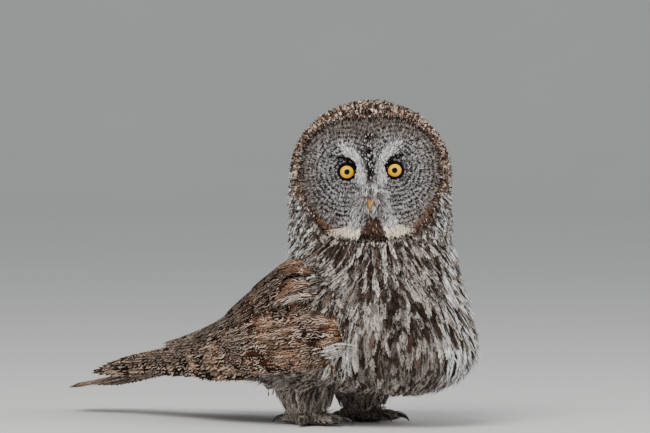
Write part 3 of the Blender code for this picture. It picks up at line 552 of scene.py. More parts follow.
areas = np.linalg.norm(faceCross, axis=1) / 2
reachedArea = np.cumsum(areas)
candidateCount = 150000
pick = np.searchsorted(reachedArea, rng.random(candidateCount) * reachedArea[-1])
spread = rng.random((candidateCount, 2))
flip = spread.sum(axis=1) > 1
spread[flip] = 1 - spread[flip]
weights = np.stack([1 - spread.sum(axis=1), spread[:, 0], spread[:, 1]], axis=1)[:, :, None]
candidates = (skinPoints[skinTriangles[pick]] * weights).sum(axis=1)
candidateNormals = unit((skinNormals[skinTriangles[pick]] * weights).sum(axis=1))
candidateParts = partOf(candidates, candidateNormals)


def rootsFor(chosen, apart):
    rows = np.flatnonzero(chosen)
    rows = rows[thin(candidates[rows], apart)]
    return candidates[rows], candidateNormals[rows]


# Where a point of the coat lies on the unwrapped skin, for the bake map
def unwrapBody(points):
    x, back, z = points[:, 0] - headX, points[:, 1] - headY, points[:, 2]
    pivot = np.array([210, 290]) * mm
    middles = (trunkForm["back"] + trunkForm["front"]) / 2 - pivot
    sweep = np.arctan2(middles[:, 1], middles[:, 0]) % (2 * np.pi)
    here = np.arctan2(z - pivot[1], back - pivot[0]) % (2 * np.pi)
    reach = np.hypot(back - pivot[0], z - pivot[1])
    centre = np.interp(here, sweep, np.hypot(middles[:, 0], middles[:, 1]))
    trunkU = np.arctan2(x, reach - centre) / (2 * np.pi) + 0.5
    trunkV = 0.60 - 0.58 * np.clip((here - sweep[0]) / (sweep[-1] - sweep[0]), 0, 1)
    headU = np.arctan2(x, -back) / (2 * np.pi) + 0.5
    headV = 0.62 + 0.36 * (z - 200 * mm) / (160 * mm)
    high = z > 200 * mm
    return np.stack([np.where(high, headU, trunkU), np.clip(np.where(high, headV, trunkV), 0.01, 0.99)], axis=1) * 0.98 + 0.01


def unwrapDisc(x, height):
    # round the disc and outwards from its middle
    angle = np.arctan2(x, height - discForm["level"]) / (2 * np.pi) + 0.5
    return np.stack([0.01 + 0.98 * angle, 0.02 + 0.75 * np.clip(discShare(x, height), 0, 1.25)], axis=1)


# A feather: a shaft, a vane on each side and a fringe of loose barb ends.
# Every plume of a piece has the same faces, so they are all laid out at once.
def plumes(name, path, up, halfWidth, shape, tones, roots, material, atlas=None):
    count, columns = len(path), shape["columns"]
    steps = path.shape[1] - 1
    v = np.linspace(0, 1, columns + 1)
    at = v * steps
    i = np.minimum(at.astype(int), steps - 1)
    f = (at - i)[None, :, None]
    centre = path[:, i] * (1 - f) + path[:, i + 1] * f
    normal = unit(up[:, i] * (1 - f) + up[:, i + 1] * f)
    liftScale = 1 + shape["liftSpread"] * rng.normal(size=(count, 1))
    lift = shape["rootLift"] + (shape["tipLift"] * liftScale - shape["rootLift"]) * v[None] ** shape["liftPower"]
    centre = centre + normal * lift[:, :, None] * mm
    forward = unit(np.gradient(centre, axis=1))
    across = unit(np.cross(forward, normal))
    roll = (shape["roll"] * rng.normal(size=count))[:, None, None]
    across, normal = across * np.cos(roll) + normal * np.sin(roll), normal * np.cos(roll) - across * np.sin(roll)
    outline = np.minimum(1, shape["rootWidth"] + 1.5 * v) * np.maximum(0, 1 - v ** shape["tipPower"]) ** 0.6
    width = halfWidth[:, None] * outline[None]
    segment = np.linalg.norm(np.diff(centre, axis=1), axis=2)
    parts, places = [centre], [np.stack([0 * v, v], axis=1)]
    for side in (-1, 1):
        droop = shape["camber"] * width[:, :, None] * normal
        parts.append(centre + side * across * (0.62 * width)[:, :, None] - 0.4 * droop)
        places.append(np.stack([0 * v + 0.62 * side, v], axis=1))
    for side, middle in ((-1, parts[1]), (1, parts[2])):
        base = (middle[:, :-1] + middle[:, 1:]) / 2
        mean = (width[:, :-1] + width[:, 1:]) / 2 + 0.12 * halfWidth[:, None]
        out = mean * 0.40 * shape.get("fringe", 1.0) * rng.uniform(0.5, 1.35, mean.shape)
        on = segment * rng.uniform(0.55, 1.7, mean.shape) * shape["fray"]
        fall = (normal[:, :-1] * (shape["camber"] * mean * 0.7)[:, :, None])
        parts.append(base + side * across[:, :-1] * out[:, :, None] + forward[:, :-1] * on[:, :, None] - fall)
        places.append(np.stack([np.full(columns, 1.0 * side), (v[:-1] + v[1:]) / 2], axis=1))
    vertices = np.concatenate(parts, axis=1)
    vertices[:, :, 2] = np.maximum(vertices[:, :, 2], 0.3 * mm)
    place = np.concatenate(places)
    perPlume = vertices.shape[1]
    n = columns + 1
    faces = []
    for k in range(columns):
        a, l, r = k, n + k, 2 * n + k
        faces += [(a, l, l + 1), (a, l + 1, a + 1), (a, a + 1, r + 1), (a, r + 1, r)]
        faces += [(l, 3 * n + k, l + 1), (r, r + 1, 3 * n + columns + k)]
    faces = np.array(faces)
    faces = (faces[None] + (np.arange(count) * perPlume)[:, None, None]).reshape(-1, 3)
    piece = newPiece(name, vertices.reshape(-1, 3), faces, material)
    dark, light, plan = tones
    luck = np.repeat(rng.random(count), perPlume)
    local = np.tile(place, (count, 1))
    addPoints(piece, "vane", np.column_stack([local, luck]))
    addPoints(piece, "plan", np.repeat(plan, perPlume, axis=0))
    addPoints(piece, "darkTone", np.repeat(dark, perPlume, axis=0), "FLOAT_COLOR")
    addPoints(piece, "lightTone", np.repeat(light, perPlume, axis=0), "FLOAT_COLOR")
    if atlas:
        cell = np.stack([np.arange(count) % atlas, np.arange(count) // atlas], axis=1) / atlas
        spot = np.repeat(cell, perPlume, axis=0) + (0.05 + 0.9 * np.column_stack([(local[:, 0] + 1) / 2, local[:, 1]])) / atlas
    else:
        spot = np.repeat(roots, perPlume, axis=0) + 0.0015 * np.column_stack([local[:, 0], 2 * local[:, 1] - 1])
    addBakeMap(piece, spot)
    return piece


# The bird's colours by place. Each row: a dark and a light tone, the half width of the dark
# streak along the shaft, the number of bars across it and the strength of the mottling
coatColours = {
    "breast": (paint(34, 20, 14), paint(208, 198, 188), (0.60, 0.7, 0.85)),
    "belly": (paint(46, 31, 24), paint(184, 175, 166), (0.46, 1.2, 0.8)),
    "flank": (paint(26, 13, 9), paint(255, 249, 241), (0.31, 0.6, 0.15)),
    "back": (paint(32, 18, 12), paint(184, 154, 130), (0.40, 2.2, 1.0)),
    "rump": (paint(30, 17, 11), paint(218, 192, 168), (0.40, 2.6, 0.9)),
    "neck": (paint(16, 8, 6), paint(255, 250, 242), (0.35, 0.6, 0.25)),
    "crown": (paint(18, 8, 5), paint(232, 202, 178), (0.54, 3.9, 0.6)),
    "band": (paint(66, 38, 25), paint(190, 156, 130), (0.16, 1.6, 0.5)),
    "rim": (paint(24, 12, 8), paint(244, 220, 202), (0.36, 3.2, 0.5)),
    "ruff": (paint(26, 14, 9), paint(118, 82, 58), (0.30, 0.9, 0.9)),
    "wing": (paint(30, 18, 13), paint(132, 94, 68), (0.22, 6.0, 0.8)),
    "leg": (paint(84, 70, 58), paint(192, 182, 168), (0.14, 2.4, 0.5)),
}


# darker (+) and paler (-) parts of the breast, each at (across the face's line, height), with
# half its width and height in millimetres
breastPatches = (
    ((17, 114), (8, 24), 1.0), ((50, 117), (17, 20), 0.8), ((-7, 106), (14, 24), -1.1), ((84, 78), (9, 16), -0.9),
    ((-8, 178), (14, 8), 0.4), ((52, 152), (12, 20), -0.9), ((68, 168), (7, 14), 0.9), ((38, 96), (12, 12), 0.9),
    ((-24, 156), (16, 12), -0.6), ((25, 154), (7, 20), 0.8), ((5, 86), (7, 14), 1.0), ((58, 84), (10, 12), -0.6),
    ((-12, 150), (9, 10), 1.0), ((2, 167), (8, 10), 0.5), ((60, 152), (6, 9), 1.2), ((76, 156), (7, 16), -0.8),
    ((42, 88), (9, 8), -0.8), ((20, 138), (9, 9), 0.6),
)


def stripes(points):
    # long wandering streaks down the breast and flanks, from about -1 to 1, in darker and paler parts
    x, back, z = points[:, 0] - headX, points[:, 1] - headY, points[:, 2]
    around = np.arctan2(x, -(back - 20 * mm)) * 112 * mm
    drift = 2.3 * np.sin(z / (21 * mm) + around / (37 * mm)) + 1.3 * np.sin(z / (9 * mm) - around / (23 * mm))
    broken = np.sin(z / (13 * mm) + 2.1 * np.sin(around / (19 * mm)))
    streak = np.sin(around / (12.5 * mm) * 2 * np.pi + drift) * (0.75 + 0.35 * broken)
    across = toFace(points)[:, 0]
    for (middle, height), (halfWidth, halfHeight), strength in breastPatches:
        away = ((across / mm - middle) / halfWidth) ** 2 + ((z / mm - height) / halfHeight) ** 2
        streak = streak + 0.9 * strength * np.exp(-away)
    return np.clip(streak, -1.3, 1.3)


def coatTones(points, part, spread=1.0):
    face = toFace(points)
    x, back, z = points[:, 0] - headX, points[:, 1] - headY, points[:, 2]
    count = len(points)
    dark, light, plan = (np.tile(c, (count, 1)) for c in coatColours["breast"])

    def over(weight, name):
        nonlocal dark, light, plan
        w = np.asarray(weight, float)[:, None]
        rows = coatColours[name]
        dark, light, plan = dark * (1 - w) + rows[0] * w, light * (1 - w) + rows[1] * w, plan * (1 - w) + np.array(rows[2]) * w

    rear = smooth(-10 * mm, 70 * mm, back)
    over(smooth(128 * mm, 84 * mm, z), "belly")
    over(smooth(58 * mm, 82 * mm, face[:, 0]) * (1 - rear) * smooth(190 * mm, 160 * mm, z), "flank")
    # a white tuft of the flank lies over the wing's lower front edge
    tuft = np.hypot(face[:, 0] + 42 * mm, z - 82 * mm)
    over(smooth(26 * mm, 12 * mm, tuft) * (1 - rear), "flank")
    over(rear * smooth(70 * mm, 92 * mm, z), "back")
    over(smooth(200 * mm, 240 * mm, back), "rump")
    over(smooth(158 * mm, 188 * mm, z) * np.maximum(rear, smooth(55 * mm, 80 * mm, np.abs(face[:, 0]))), "neck")
    over(smooth(206 * mm, 250 * mm, z) * smooth(-30 * mm, 20 * mm, face[:, 1]), "neck")
    over(smooth(30 * mm, 80 * mm, face[:, 1]) * smooth(180 * mm, 220 * mm, z) * 0.55, "back")
    over(smooth(262 * mm, 305 * mm, z), "crown")
    share = discShare(face[:, 0], face[:, 2])
    front = smooth(10 * mm, 34 * mm, -face[:, 1])
    over(front * smooth(1.11, 1.01, share) * smooth(225 * mm, 262 * mm, face[:, 2]) * 0.85, "rim")
    # a tan line round the disc, rusty below
    angle = np.degrees(np.abs(np.arctan2(face[:, 0], face[:, 2] - discForm["level"])))
    over(front * smooth(1.09, 1.05, share) * smooth(12, 32, angle) * smooth(112, 100, angle) * 0.6, "band")
    low = smooth(108, 120, angle) * smooth(157, 148, angle)
    over(front * smooth(1.11, 1.04, share) * low * 0.6, "ruff")
    over(part == 4, "wing")
    over((part == 5) | (part == 6), "leg")
    streak = stripes(points)
    body = smooth(215 * mm, 190 * mm, z) * (1 - rear)
    plan = plan.copy()
    plan[:, 0] *= 1 + 0.9 * spread * np.clip(streak, -1, 1) * body
    light = light * (1 + spread * body * np.where(streak < 0, -0.14, -0.42) * streak)[:, None]
    luck = 1 + 0.27 * rng.normal(size=(count, 1))
    light = light * np.clip(luck, 0.5, 1.35)
    # some feathers of the head, neck and breast are brown nearly to the edge
    side = smooth(50 * mm, 78 * mm, face[:, 0]) * body
    often = 0.09 * smooth(52 * mm, 76 * mm, z) + body * (0.42 + 0.35 * side) * smooth(0.05, 0.8, streak) + 0.25 * smooth(160 * mm, 215 * mm, z) + 0.02 * smooth(270 * mm, 315 * mm, z)
    brown = (rng.random(count) < often * spread)[:, None]
    light = np.where(brown, light * rng.uniform(0.07, 0.42, (count, 1)) * np.array([1.0, 0.78, 0.66]), light)
    dark = dark * np.clip(1 + 0.35 * rng.normal(size=(count, 1)), 0.4, 2.2)
    return dark, np.clip(light, 0, 0.95), plan


# Shader building
def put(tree, kind, settings=None, **links):
    made = tree.nodes.new("ShaderNode" + kind)
    for key, value in (settings or {}).items():
        setattr(made, key, value)
    for key, value in links.items():
        socket = made.inputs[int(key[1:])] if key[0] == "i" and key[1:].isdigit() else made.inputs[key.replace("_", " ")]
        if isinstance(value, bpy.types.NodeSocket):
            tree.links.new(value, socket)
        else:
            socket.default_value = value
    return made


def calc(tree, operation, a, b=0.0, clamp=False):
    return put(tree, "Math", {"operation": operation, "use_clamp": clamp}, i0=a, i1=b).outputs[0]


def ramp(tree, value, low, high, toLow=0.0, toHigh=1.0):
    return put(tree, "MapRange", {"interpolation_type": "SMOOTHSTEP"}, Value=value, From_Min=low, From_Max=high, To_Min=toLow, To_Max=toHigh).outputs[0]


def mixColour(tree, factor, a, b, blend="MIX"):
    return put(tree, "Mix", {"data_type": "RGBA", "blend_type": blend, "clamp_factor": True}, i0=factor, i6=a, i7=b).outputs[2]


def noise(tree, vector, scale, detail=2.0, roughness=0.5):
    return put(tree, "TexNoise", None, Vector=vector, Scale=scale, Detail=detail, Roughness=roughness).outputs[0]


def newGroup(name, inputs, outputs):
    tree = bpy.data.node_groups.new(name, "ShaderNodeTree")
    for label, kind, value in inputs:
        socket = tree.interface.new_socket(name=label, in_out="INPUT", socket_type="NodeSocket" + kind)
        socket.default_value = value
    for label, kind in outputs:
        tree.interface.new_socket(name=label, in_out="OUTPUT", socket_type="NodeSocket" + kind)
    return tree, tree.nodes.new("NodeGroupInput").outputs, tree.nodes.new("NodeGroupOutput")


def makeVaneMarks():
    # the marks of one feather from its own place: u across, v along, a number of its own
    tree, given, result = newGroup(
        "vaneMarks",
        [("Vane", "Vector", (0, 0, 0)), ("Plan", "Vector", (0.3, 1, 0.5)), ("Dark", "Color", (0.05, 0.04, 0.03, 1)),
         ("Light", "Color", (0.5, 0.5, 0.5, 1)), ("Mottle Size", "Float", 420.0), ("Barbs", "Float", 24.0),
         ("Barb Depth", "Float", 0.16), ("Waver", "Float", 0.45), ("Lines", "Float", 12.0), ("Blotch", "Float", 0.0), ("Blotch Size", "Float", 290.0)],
        [("Color", "Color"), ("Height", "Float")],
    )
    vane = put(tree, "SeparateXYZ", None, Vector=given["Vane"]).outputs
    plan = put(tree, "SeparateXYZ", None, Vector=given["Plan"]).outputs
    across = calc(tree, "ABSOLUTE", vane[0])
    coordinates = put(tree, "TexCoord").outputs["Object"]
    cloud = noise(tree, coordinates, given["Mottle Size"], 2.0)
    fine = noise(tree, coordinates, calc(tree, "MULTIPLY", given["Mottle Size"], 2.7), 1.0)
    wide = noise(tree, coordinates, calc(tree, "MULTIPLY", given["Mottle Size"], 0.22), 1.0)
    edge = calc(tree, "ADD", plan[0], calc(tree, "MULTIPLY", calc(tree, "SUBTRACT", cloud, 0.5), calc(tree, "ADD", plan[2], 0.9)))
    edge = calc(tree, "MULTIPLY", edge, calc(tree, "ADD", 0.65, calc(tree, "MULTIPLY", vane[1], 0.45)))
    off = calc(tree, "SUBTRACT", edge, across)
    streak = ramp(tree, off, -0.10, 0.10)
    # wavy thin lines across the vane, in patches
    line = calc(tree, "ADD", calc(tree, "MULTIPLY", vane[1], given["Lines"]), calc(tree, "MULTIPLY", across, -0.7))
    line = calc(tree, "ADD", calc(tree, "ADD", line, vane[2]), calc(tree, "MULTIPLY", cloud, 1.6))
    line = ramp(tree, calc(tree, "SINE", calc(tree, "MULTIPLY", line, 2 * math.pi)), -0.2, 0.6)
    line = calc(tree, "MULTIPLY", line, calc(tree, "MULTIPLY", plan[2], ramp(tree, wide, 0.40, 0.56, 0.15, 0.72)))
    turn = calc(tree, "MULTIPLY", plan[1], vane[1])
    turn = calc(tree, "ADD", turn, calc(tree, "MULTIPLY", across, -0.32))
    turn = calc(tree, "ADD", turn, vane[2])
    turn = calc(tree, "ADD", turn, calc(tree, "MULTIPLY", cloud, given["Waver"]))
    bars = calc(tree, "SINE", calc(tree, "MULTIPLY", turn, 2 * math.pi))
    bars = ramp(tree, bars, -0.25, 0.45, 0.0, 1.0)
    barred = calc(tree, "MULTIPLY", bars, ramp(tree, plan[1], 0.8, 2.0, 0.0, 0.85))
    specks = calc(tree, "MULTIPLY", ramp(tree, fine, 0.50, 0.62), plan[2])
    share = calc(tree, "MAXIMUM", calc(tree, "MAXIMUM", streak, barred), calc(tree, "MAXIMUM", line, calc(tree, "MULTIPLY", specks, 0.75)))
    holes = calc(tree, "MULTIPLY", ramp(tree, fine, 0.46, 0.36), calc(tree, "MULTIPLY", plan[2], 0.55))
    share = calc(tree, "MULTIPLY", share, calc(tree, "SUBTRACT", 1.0, holes), True)
    # blotches that neighbouring feathers share
    tall = put(tree, "Mapping", None, Vector=coordinates, Scale=(1.0, 1.0, 0.6)).outputs[0]
    blotch = ramp(tree, noise(tree, tall, given["Blotch Size"], 1.0), 0.44, 0.52)
    share = calc(tree, "ADD", share, calc(tree, "MULTIPLY", calc(tree, "SUBTRACT", blotch, share), given["Blotch"]), True)
    colour = mixColour(tree, share, given["Light"], given["Dark"])
    # lines along the barbs: painted shade in the colour, and the same wave is the bump's height
    barb = calc(tree, "ADD", calc(tree, "MULTIPLY", vane[1], given["Barbs"]), calc(tree, "MULTIPLY", across, -3.5))
    barb = calc(tree, "SINE", calc(tree, "MULTIPLY", barb, 2 * math.pi))
    shade = calc(tree, "ADD", 1.0, calc(tree, "MULTIPLY", barb, given["Barb Depth"]))
    shaded = put(tree, "VectorMath", {"operation": "SCALE"}, i0=colour, Scale=shade).outputs[0]
    tree.links.new(shaded, result.inputs["Color"])
    tree.links.new(barb, result.inputs["Height"])
    return tree


def makeDiscRings():
    # the rings round the nearer eye, from the place on the face in metres
    tree, given, result = newGroup(
        "discRings",
        [("Place", "Vector", (0, 0, 0)), ("Spacing", "Float", 4.9 * mm), ("Waver", "Float", 2.6 * mm)],
        [("Ring", "Float"), ("Hair", "Float")],
    )
    place = put(tree, "SeparateXYZ", None, Vector=given["Place"]).outputs
    across = calc(tree, "SUBTRACT", calc(tree, "ABSOLUTE", place[0]), discForm["eyeSpacing"] / 2)
    up = calc(tree, "SUBTRACT", place[1], discForm["eyeLevel"] - discForm["level"])
    away = calc(tree, "SQRT", calc(tree, "ADD", calc(tree, "POWER", calc(tree, "ABSOLUTE", across), 2.0), calc(tree, "POWER", calc(tree, "ABSOLUTE", up), 2.0)))
    flat = put(tree, "CombineXYZ", None, X=place[0], Y=place[1]).outputs[0]
    waver = calc(tree, "MULTIPLY", calc(tree, "SUBTRACT", noise(tree, flat, 210.0, 2.0), 0.5), calc(tree, "MULTIPLY", given["Waver"], 2.0))
    turn = calc(tree, "DIVIDE", calc(tree, "ADD", away, waver), given["Spacing"])
    ring = ramp(tree, calc(tree, "SINE", calc(tree, "MULTIPLY", turn, 2 * math.pi)), -0.75, 0.75)
    # the rings fade in places
    ring = calc(tree, "ADD", 0.5, calc(tree, "MULTIPLY", calc(tree, "SUBTRACT", ring, 0.5), ramp(tree, noise(tree, flat, 80.0, 1.0), 0.36, 0.56, 0.35, 1.0)))
    hair = noise(tree, put(tree, "CombineXYZ", None, X=calc(tree, "MULTIPLY", calc(tree, "ARCTAN2", across, up), 0.034), Y=calc(tree, "MULTIPLY", away, 0.24)).outputs[0], 640.0, 1.0)
    tree.links.new(ring, result.inputs["Ring"])
    tree.links.new(hair, result.inputs["Hair"])
    return tree


vaneMarks, discRings = makeVaneMarks(), makeDiscRings()


def newMaterial(name, roughness, **values):
    material = bpy.data.materials.new(name)
    material.use_nodes = True
    tree = material.node_tree
    shader = tree.nodes["Principled BSDF"]
    shader.inputs["Roughness"].default_value = roughness
    for key, value in values.items():
        shader.inputs[key.replace("_", " ")].default_value = value
    return material, tree, shader


def field(tree, label, colour=False):
    made = put(tree, "Attribute", {"attribute_name": label})
    return made.outputs["Color" if colour else "Vector"]


def addBump(tree, shader, height, strength, distance):
    bump = put(tree, "Bump", None, Height=height, Strength=strength, Distance=distance)
    tree.links.new(bump.outputs[0], shader.inputs["Normal"])


def plumeMaterial(name, mottleSize, barbs, barbDepth, lines, waver=0.45, blotch=0.0, blotchSize=290.0, roughness=0.85):
    material, tree, shader = newMaterial(name, roughness, Specular_IOR_Level=0.1, Sheen_Weight=0.04, Sheen_Roughness=0.5)
    marks = tree.nodes.new("ShaderNodeGroup")
    marks.node_tree = vaneMarks
    for socket, label, colour in (("Vane", "vane", False), ("Plan", "plan", False), ("Dark", "darkTone", True), ("Light", "lightTone", True)):
        tree.links.new(field(tree, label, colour), marks.inputs[socket])
    marks.inputs["Mottle Size"].default_value = mottleSize
    marks.inputs["Barbs"].default_value = barbs
    marks.inputs["Barb Depth"].default_value = barbDepth
    marks.inputs["Waver"].default_value = waver
    marks.inputs["Lines"].default_value = lines
    marks.inputs["Blotch"].default_value = blotch
    marks.inputs["Blotch Size"].default_value = blotchSize
    tree.links.new(marks.outputs["Color"], shader.inputs["Base Color"])
    addBump(tree, shader, marks.outputs["Height"], 0.35, 0.25 * mm)
    return material


bodyMaterial = plumeMaterial("bodyPlumes", 400.0, 26.0, 0.22, 13.0, 0.8, blotch=0.3, blotchSize=120.0)
crownMaterial = plumeMaterial("crownPlumes", 430.0, 12.0, 0.15, 3.5, blotch=0.7)
neckMaterial = plumeMaterial("neckPlumes", 420.0, 18.0, 0.2, 8.0, blotch=0.26)
legMaterial = plumeMaterial("legPlumes", 500.0, 10.0, 0.10, 5.0)


def makeWingMaterial():
    # tawny and dark grain along the vane, crossed by curled pale lines in patches
    material, tree, shader = newMaterial("wingPlumes", 0.9, Specular_IOR_Level=0.06)
    vane = put(tree, "SeparateXYZ", None, Vector=field(tree, "vane")).outputs
    plan = put(tree, "SeparateXYZ", None, Vector=field(tree, "plan")).outputs
    across = calc(tree, "ABSOLUTE", vane[0])
    coordinates = put(tree, "TexCoord").outputs["Object"]
    patch = noise(tree, coordinates, 34.0, 2.0)
    cloud = noise(tree, coordinates, 340.0, 2.0)
    along = calc(tree, "MULTIPLY", plan[1], vane[1])
    own = calc(tree, "MULTIPLY", vane[2], 23.0)
    grain = noise(tree, put(tree, "CombineXYZ", None, X=calc(tree, "MULTIPLY", vane[0], 4.2), Y=calc(tree, "MULTIPLY", along, 0.24), Z=own).outputs[0], 1.0, 3.0, 0.6)
    curl = noise(tree, put(tree, "CombineXYZ", None, X=calc(tree, "MULTIPLY", vane[0], 1.5), Y=calc(tree, "MULTIPLY", along, 0.5), Z=own).outputs[0], 1.0, 1.0)
    brownness = calc(tree, "ADD", calc(tree, "ADD", calc(tree, "ADD", plan[0], -0.47), calc(tree, "MULTIPLY", patch, 1.9)), calc(tree, "MULTIPLY", calc(tree, "SUBTRACT", grain, 0.5), calc(tree, "ADD", 2.1, calc(tree, "MULTIPLY", plan[0], 7.0))))
    brownness = calc(tree, "ADD", brownness, calc(tree, "MULTIPLY", calc(tree, "SUBTRACT", vane[2], 0.5), 0.2))
    dark, light = field(tree, "darkTone", True), field(tree, "lightTone", True)
    colour = mixColour(tree, ramp(tree, brownness, 0.36, 0.62), dark, light)
    # the lines slant steeply back along the feather and curl
    turn = calc(tree, "ADD", calc(tree, "MULTIPLY", along, 0.3), calc(tree, "MULTIPLY", across, -2.6))
    turn = calc(tree, "ADD", turn, calc(tree, "MULTIPLY", curl, 2.4))
    wave = calc(tree, "SINE", calc(tree, "MULTIPLY", calc(tree, "ADD", turn, vane[2]), 2 * math.pi))
    colour = mixColour(tree, ramp(tree, wave, -0.2, -0.8, 0.0, 0.85), colour, dark)
    spots = calc(tree, "ADD", noise(tree, coordinates, 88.0, 1.0), calc(tree, "MULTIPLY", calc(tree, "SUBTRACT", cloud, 0.5), 0.28))
    broad = noise(tree, coordinates, 27.0, 1.0)
    spots = calc(tree, "ADD", spots, calc(tree, "MULTIPLY", calc(tree, "SUBTRACT", 0.5, broad), 0.95))
    pale = calc(tree, "MULTIPLY", ramp(tree, wave, 0.42, 0.78), calc(tree, "MULTIPLY", ramp(tree, spots, 0.46, 0.55), plan[2]))
    colour = mixColour(tree, pale, colour, (*paint(228, 206, 187), 1))
    # lines along the barbs: painted shade in the colour, and the same wave is the bump's height
    barb = calc(tree, "ADD", calc(tree, "MULTIPLY", vane[1], 60.0), calc(tree, "MULTIPLY", across, -3.5))
    barb = calc(tree, "SINE", calc(tree, "MULTIPLY", barb, 2 * math.pi))
    # the vane darkens towards its edge as painted shade of the gap to the next feather, and the edge itself is pale in
    # places
    fringe = calc(tree, "MULTIPLY", ramp(tree, across, 0.74, 0.84), ramp(tree, cloud, 0.36, 0.46))
    colour = mixColour(tree, calc(tree, "MULTIPLY", fringe, plan[2]), colour, (*paint(232, 212, 194), 1))
    darker = calc(tree, "MULTIPLY", ramp(tree, across, 0.45, 0.70), ramp(tree, across, 0.86, 0.76))
    shade = calc(tree, "SUBTRACT", calc(tree, "ADD", 1.0, calc(tree, "MULTIPLY", barb, 0.14)), calc(tree, "MULTIPLY", darker, 0.65))
    # broad darker and tawny parts of the folded wing
    shade = calc(tree, "MULTIPLY", shade, ramp(tree, broad, 0.38, 0.62, 0.64, 1.24))
    tree.links.new(put(tree, "VectorMath", {"operation": "SCALE"}, i0=colour, Scale=shade).outputs[0], shader.inputs["Base Color"])
    addBump(tree, shader, barb, 0.35, 0.25 * mm)
    return material


wingMaterial = makeWingMaterial()


def makeFaceMaterial():
    # the disc's fine feathers: rings where the place says so, else from root tone to tip tone
    material, tree, shader = newMaterial("facePlumes", 0.9, Specular_IOR_Level=0.15)
    rings = tree.nodes.new("ShaderNodeGroup")
    rings.node_tree = discRings
    place = field(tree, "place")
    tree.links.new(place, rings.inputs["Place"])
    strength = put(tree, "SeparateXYZ", None, Vector=place).outputs[2]
    vane = put(tree, "SeparateXYZ", None, Vector=field(tree, "vane")).outputs
    tipward = ramp(tree, vane[1], 0.15, 0.75)
    coordinates = put(tree, "TexCoord").outputs["Object"]
    fleck = ramp(tree, noise(tree, coordinates, 600.0, 2.0), 0.38, 0.62, -0.42, 0.42)
    patch = ramp(tree, noise(tree, coordinates, 52.0, 1.0), 0.35, 0.65, -0.08, 0.08)
    hair = calc(tree, "ADD", ramp(tree, rings.outputs["Hair"], 0.38, 0.62, -0.30, 0.30), patch)
    ring = calc(tree, "ADD", calc(tree, "MULTIPLY", rings.outputs["Ring"], 0.68), 0.06)
    plain = calc(tree, "ADD", calc(tree, "MULTIPLY", ring, strength), calc(tree, "MULTIPLY", tipward, calc(tree, "SUBTRACT", 1.0, strength)))
    rough = calc(tree, "MULTIPLY", calc(tree, "ADD", hair, fleck), calc(tree, "ADD", 0.45, calc(tree, "MULTIPLY", strength, 0.55)))
    factor = calc(tree, "ADD", plain, rough, True)
    colour = mixColour(tree, factor, field(tree, "darkTone", True), field(tree, "lightTone", True))
    tree.links.new(colour, shader.inputs["Base Color"])
    return material


faceMaterial = makeFaceMaterial()


def makeSkinMaterial():
    # down between the feathers, in the same markings as the coat over it, darkened as painted shade
    material, tree, shader = newMaterial("down", 0.95, Specular_IOR_Level=0.1)
    coordinates = put(tree, "TexCoord").outputs["Object"]
    rings = tree.nodes.new("ShaderNodeGroup")
    rings.node_tree = discRings
    place = field(tree, "place")
    tree.links.new(place, rings.inputs["Place"])
    strength = put(tree, "SeparateXYZ", None, Vector=place).outputs[2]
    cloud = ramp(tree, noise(tree, coordinates, 260.0, 3.0), 0.42, 0.58)
    factor = calc(tree, "ADD", calc(tree, "MULTIPLY", rings.outputs["Ring"], strength), calc(tree, "MULTIPLY", cloud, calc(tree, "SUBTRACT", 1.0, strength)), True)
    colour = mixColour(tree, factor, field(tree, "darkTone", True), field(tree, "lightTone", True))
    # the coat's colours at 0.55: painted shade under the feathers
    tree.links.new(put(tree, "VectorMath", {"operation": "SCALE"}, i0=colour, Scale=0.55).outputs[0], shader.inputs["Base Color"])
    addBump(tree, shader, noise(tree, coordinates, 900.0, 2.0), 0.6, 0.8 * mm)
    return material


skinMaterial = makeSkinMaterial()


# The face's colours by place: dark and light tone, and how strongly the rings show
faceColours = {
    "disc": (paint(30, 27, 25), paint(168, 163, 160)),
    "outer": (paint(18, 12, 11), paint(132, 120, 112)),
    "brow": (paint(58, 53, 50), paint(240, 235, 230)),
    "middle": (paint(4, 3, 3), paint(112, 104, 98)),
    "crescent": (paint(5, 4, 4), paint(12, 10, 10)),
    "line": (paint(8, 5, 4), paint(40, 27, 22)),
    "rim": (paint(30, 19, 15), paint(158, 130, 110)),
    "corner": (paint(16, 9, 6), paint(112, 80, 60)),
    "throat": (paint(30, 20, 16), paint(196, 186, 176)),
    "chin": (paint(8, 4, 3), paint(72, 50, 42)),
    "cream": (paint(150, 140, 130), paint(255, 229, 206)),
}
# the black arch over each eye: share of its length from the inner corner, distance from the eye
archLine = ((0, 0.15, 0.35, 0.6, 0.8, 1), np.array((8.8, 8.9, 9.7, 11.9, 15.3, 18.6)) * mm)
# the pale arcs between eye and bill, as (height, distance from the middle, half width)
browLine = np.array([(317, 32, 3), (311, 29, 5.5), (303, 23, 8), (295, 17, 7.5), (287, 13.2, 6.2), (276, 11, 5.2), (262, 11.5, 5.2), (249, 13.5, 5.6), (236, 18, 5.2), (222, 21, 6), (214, 24, 5)]) * mm


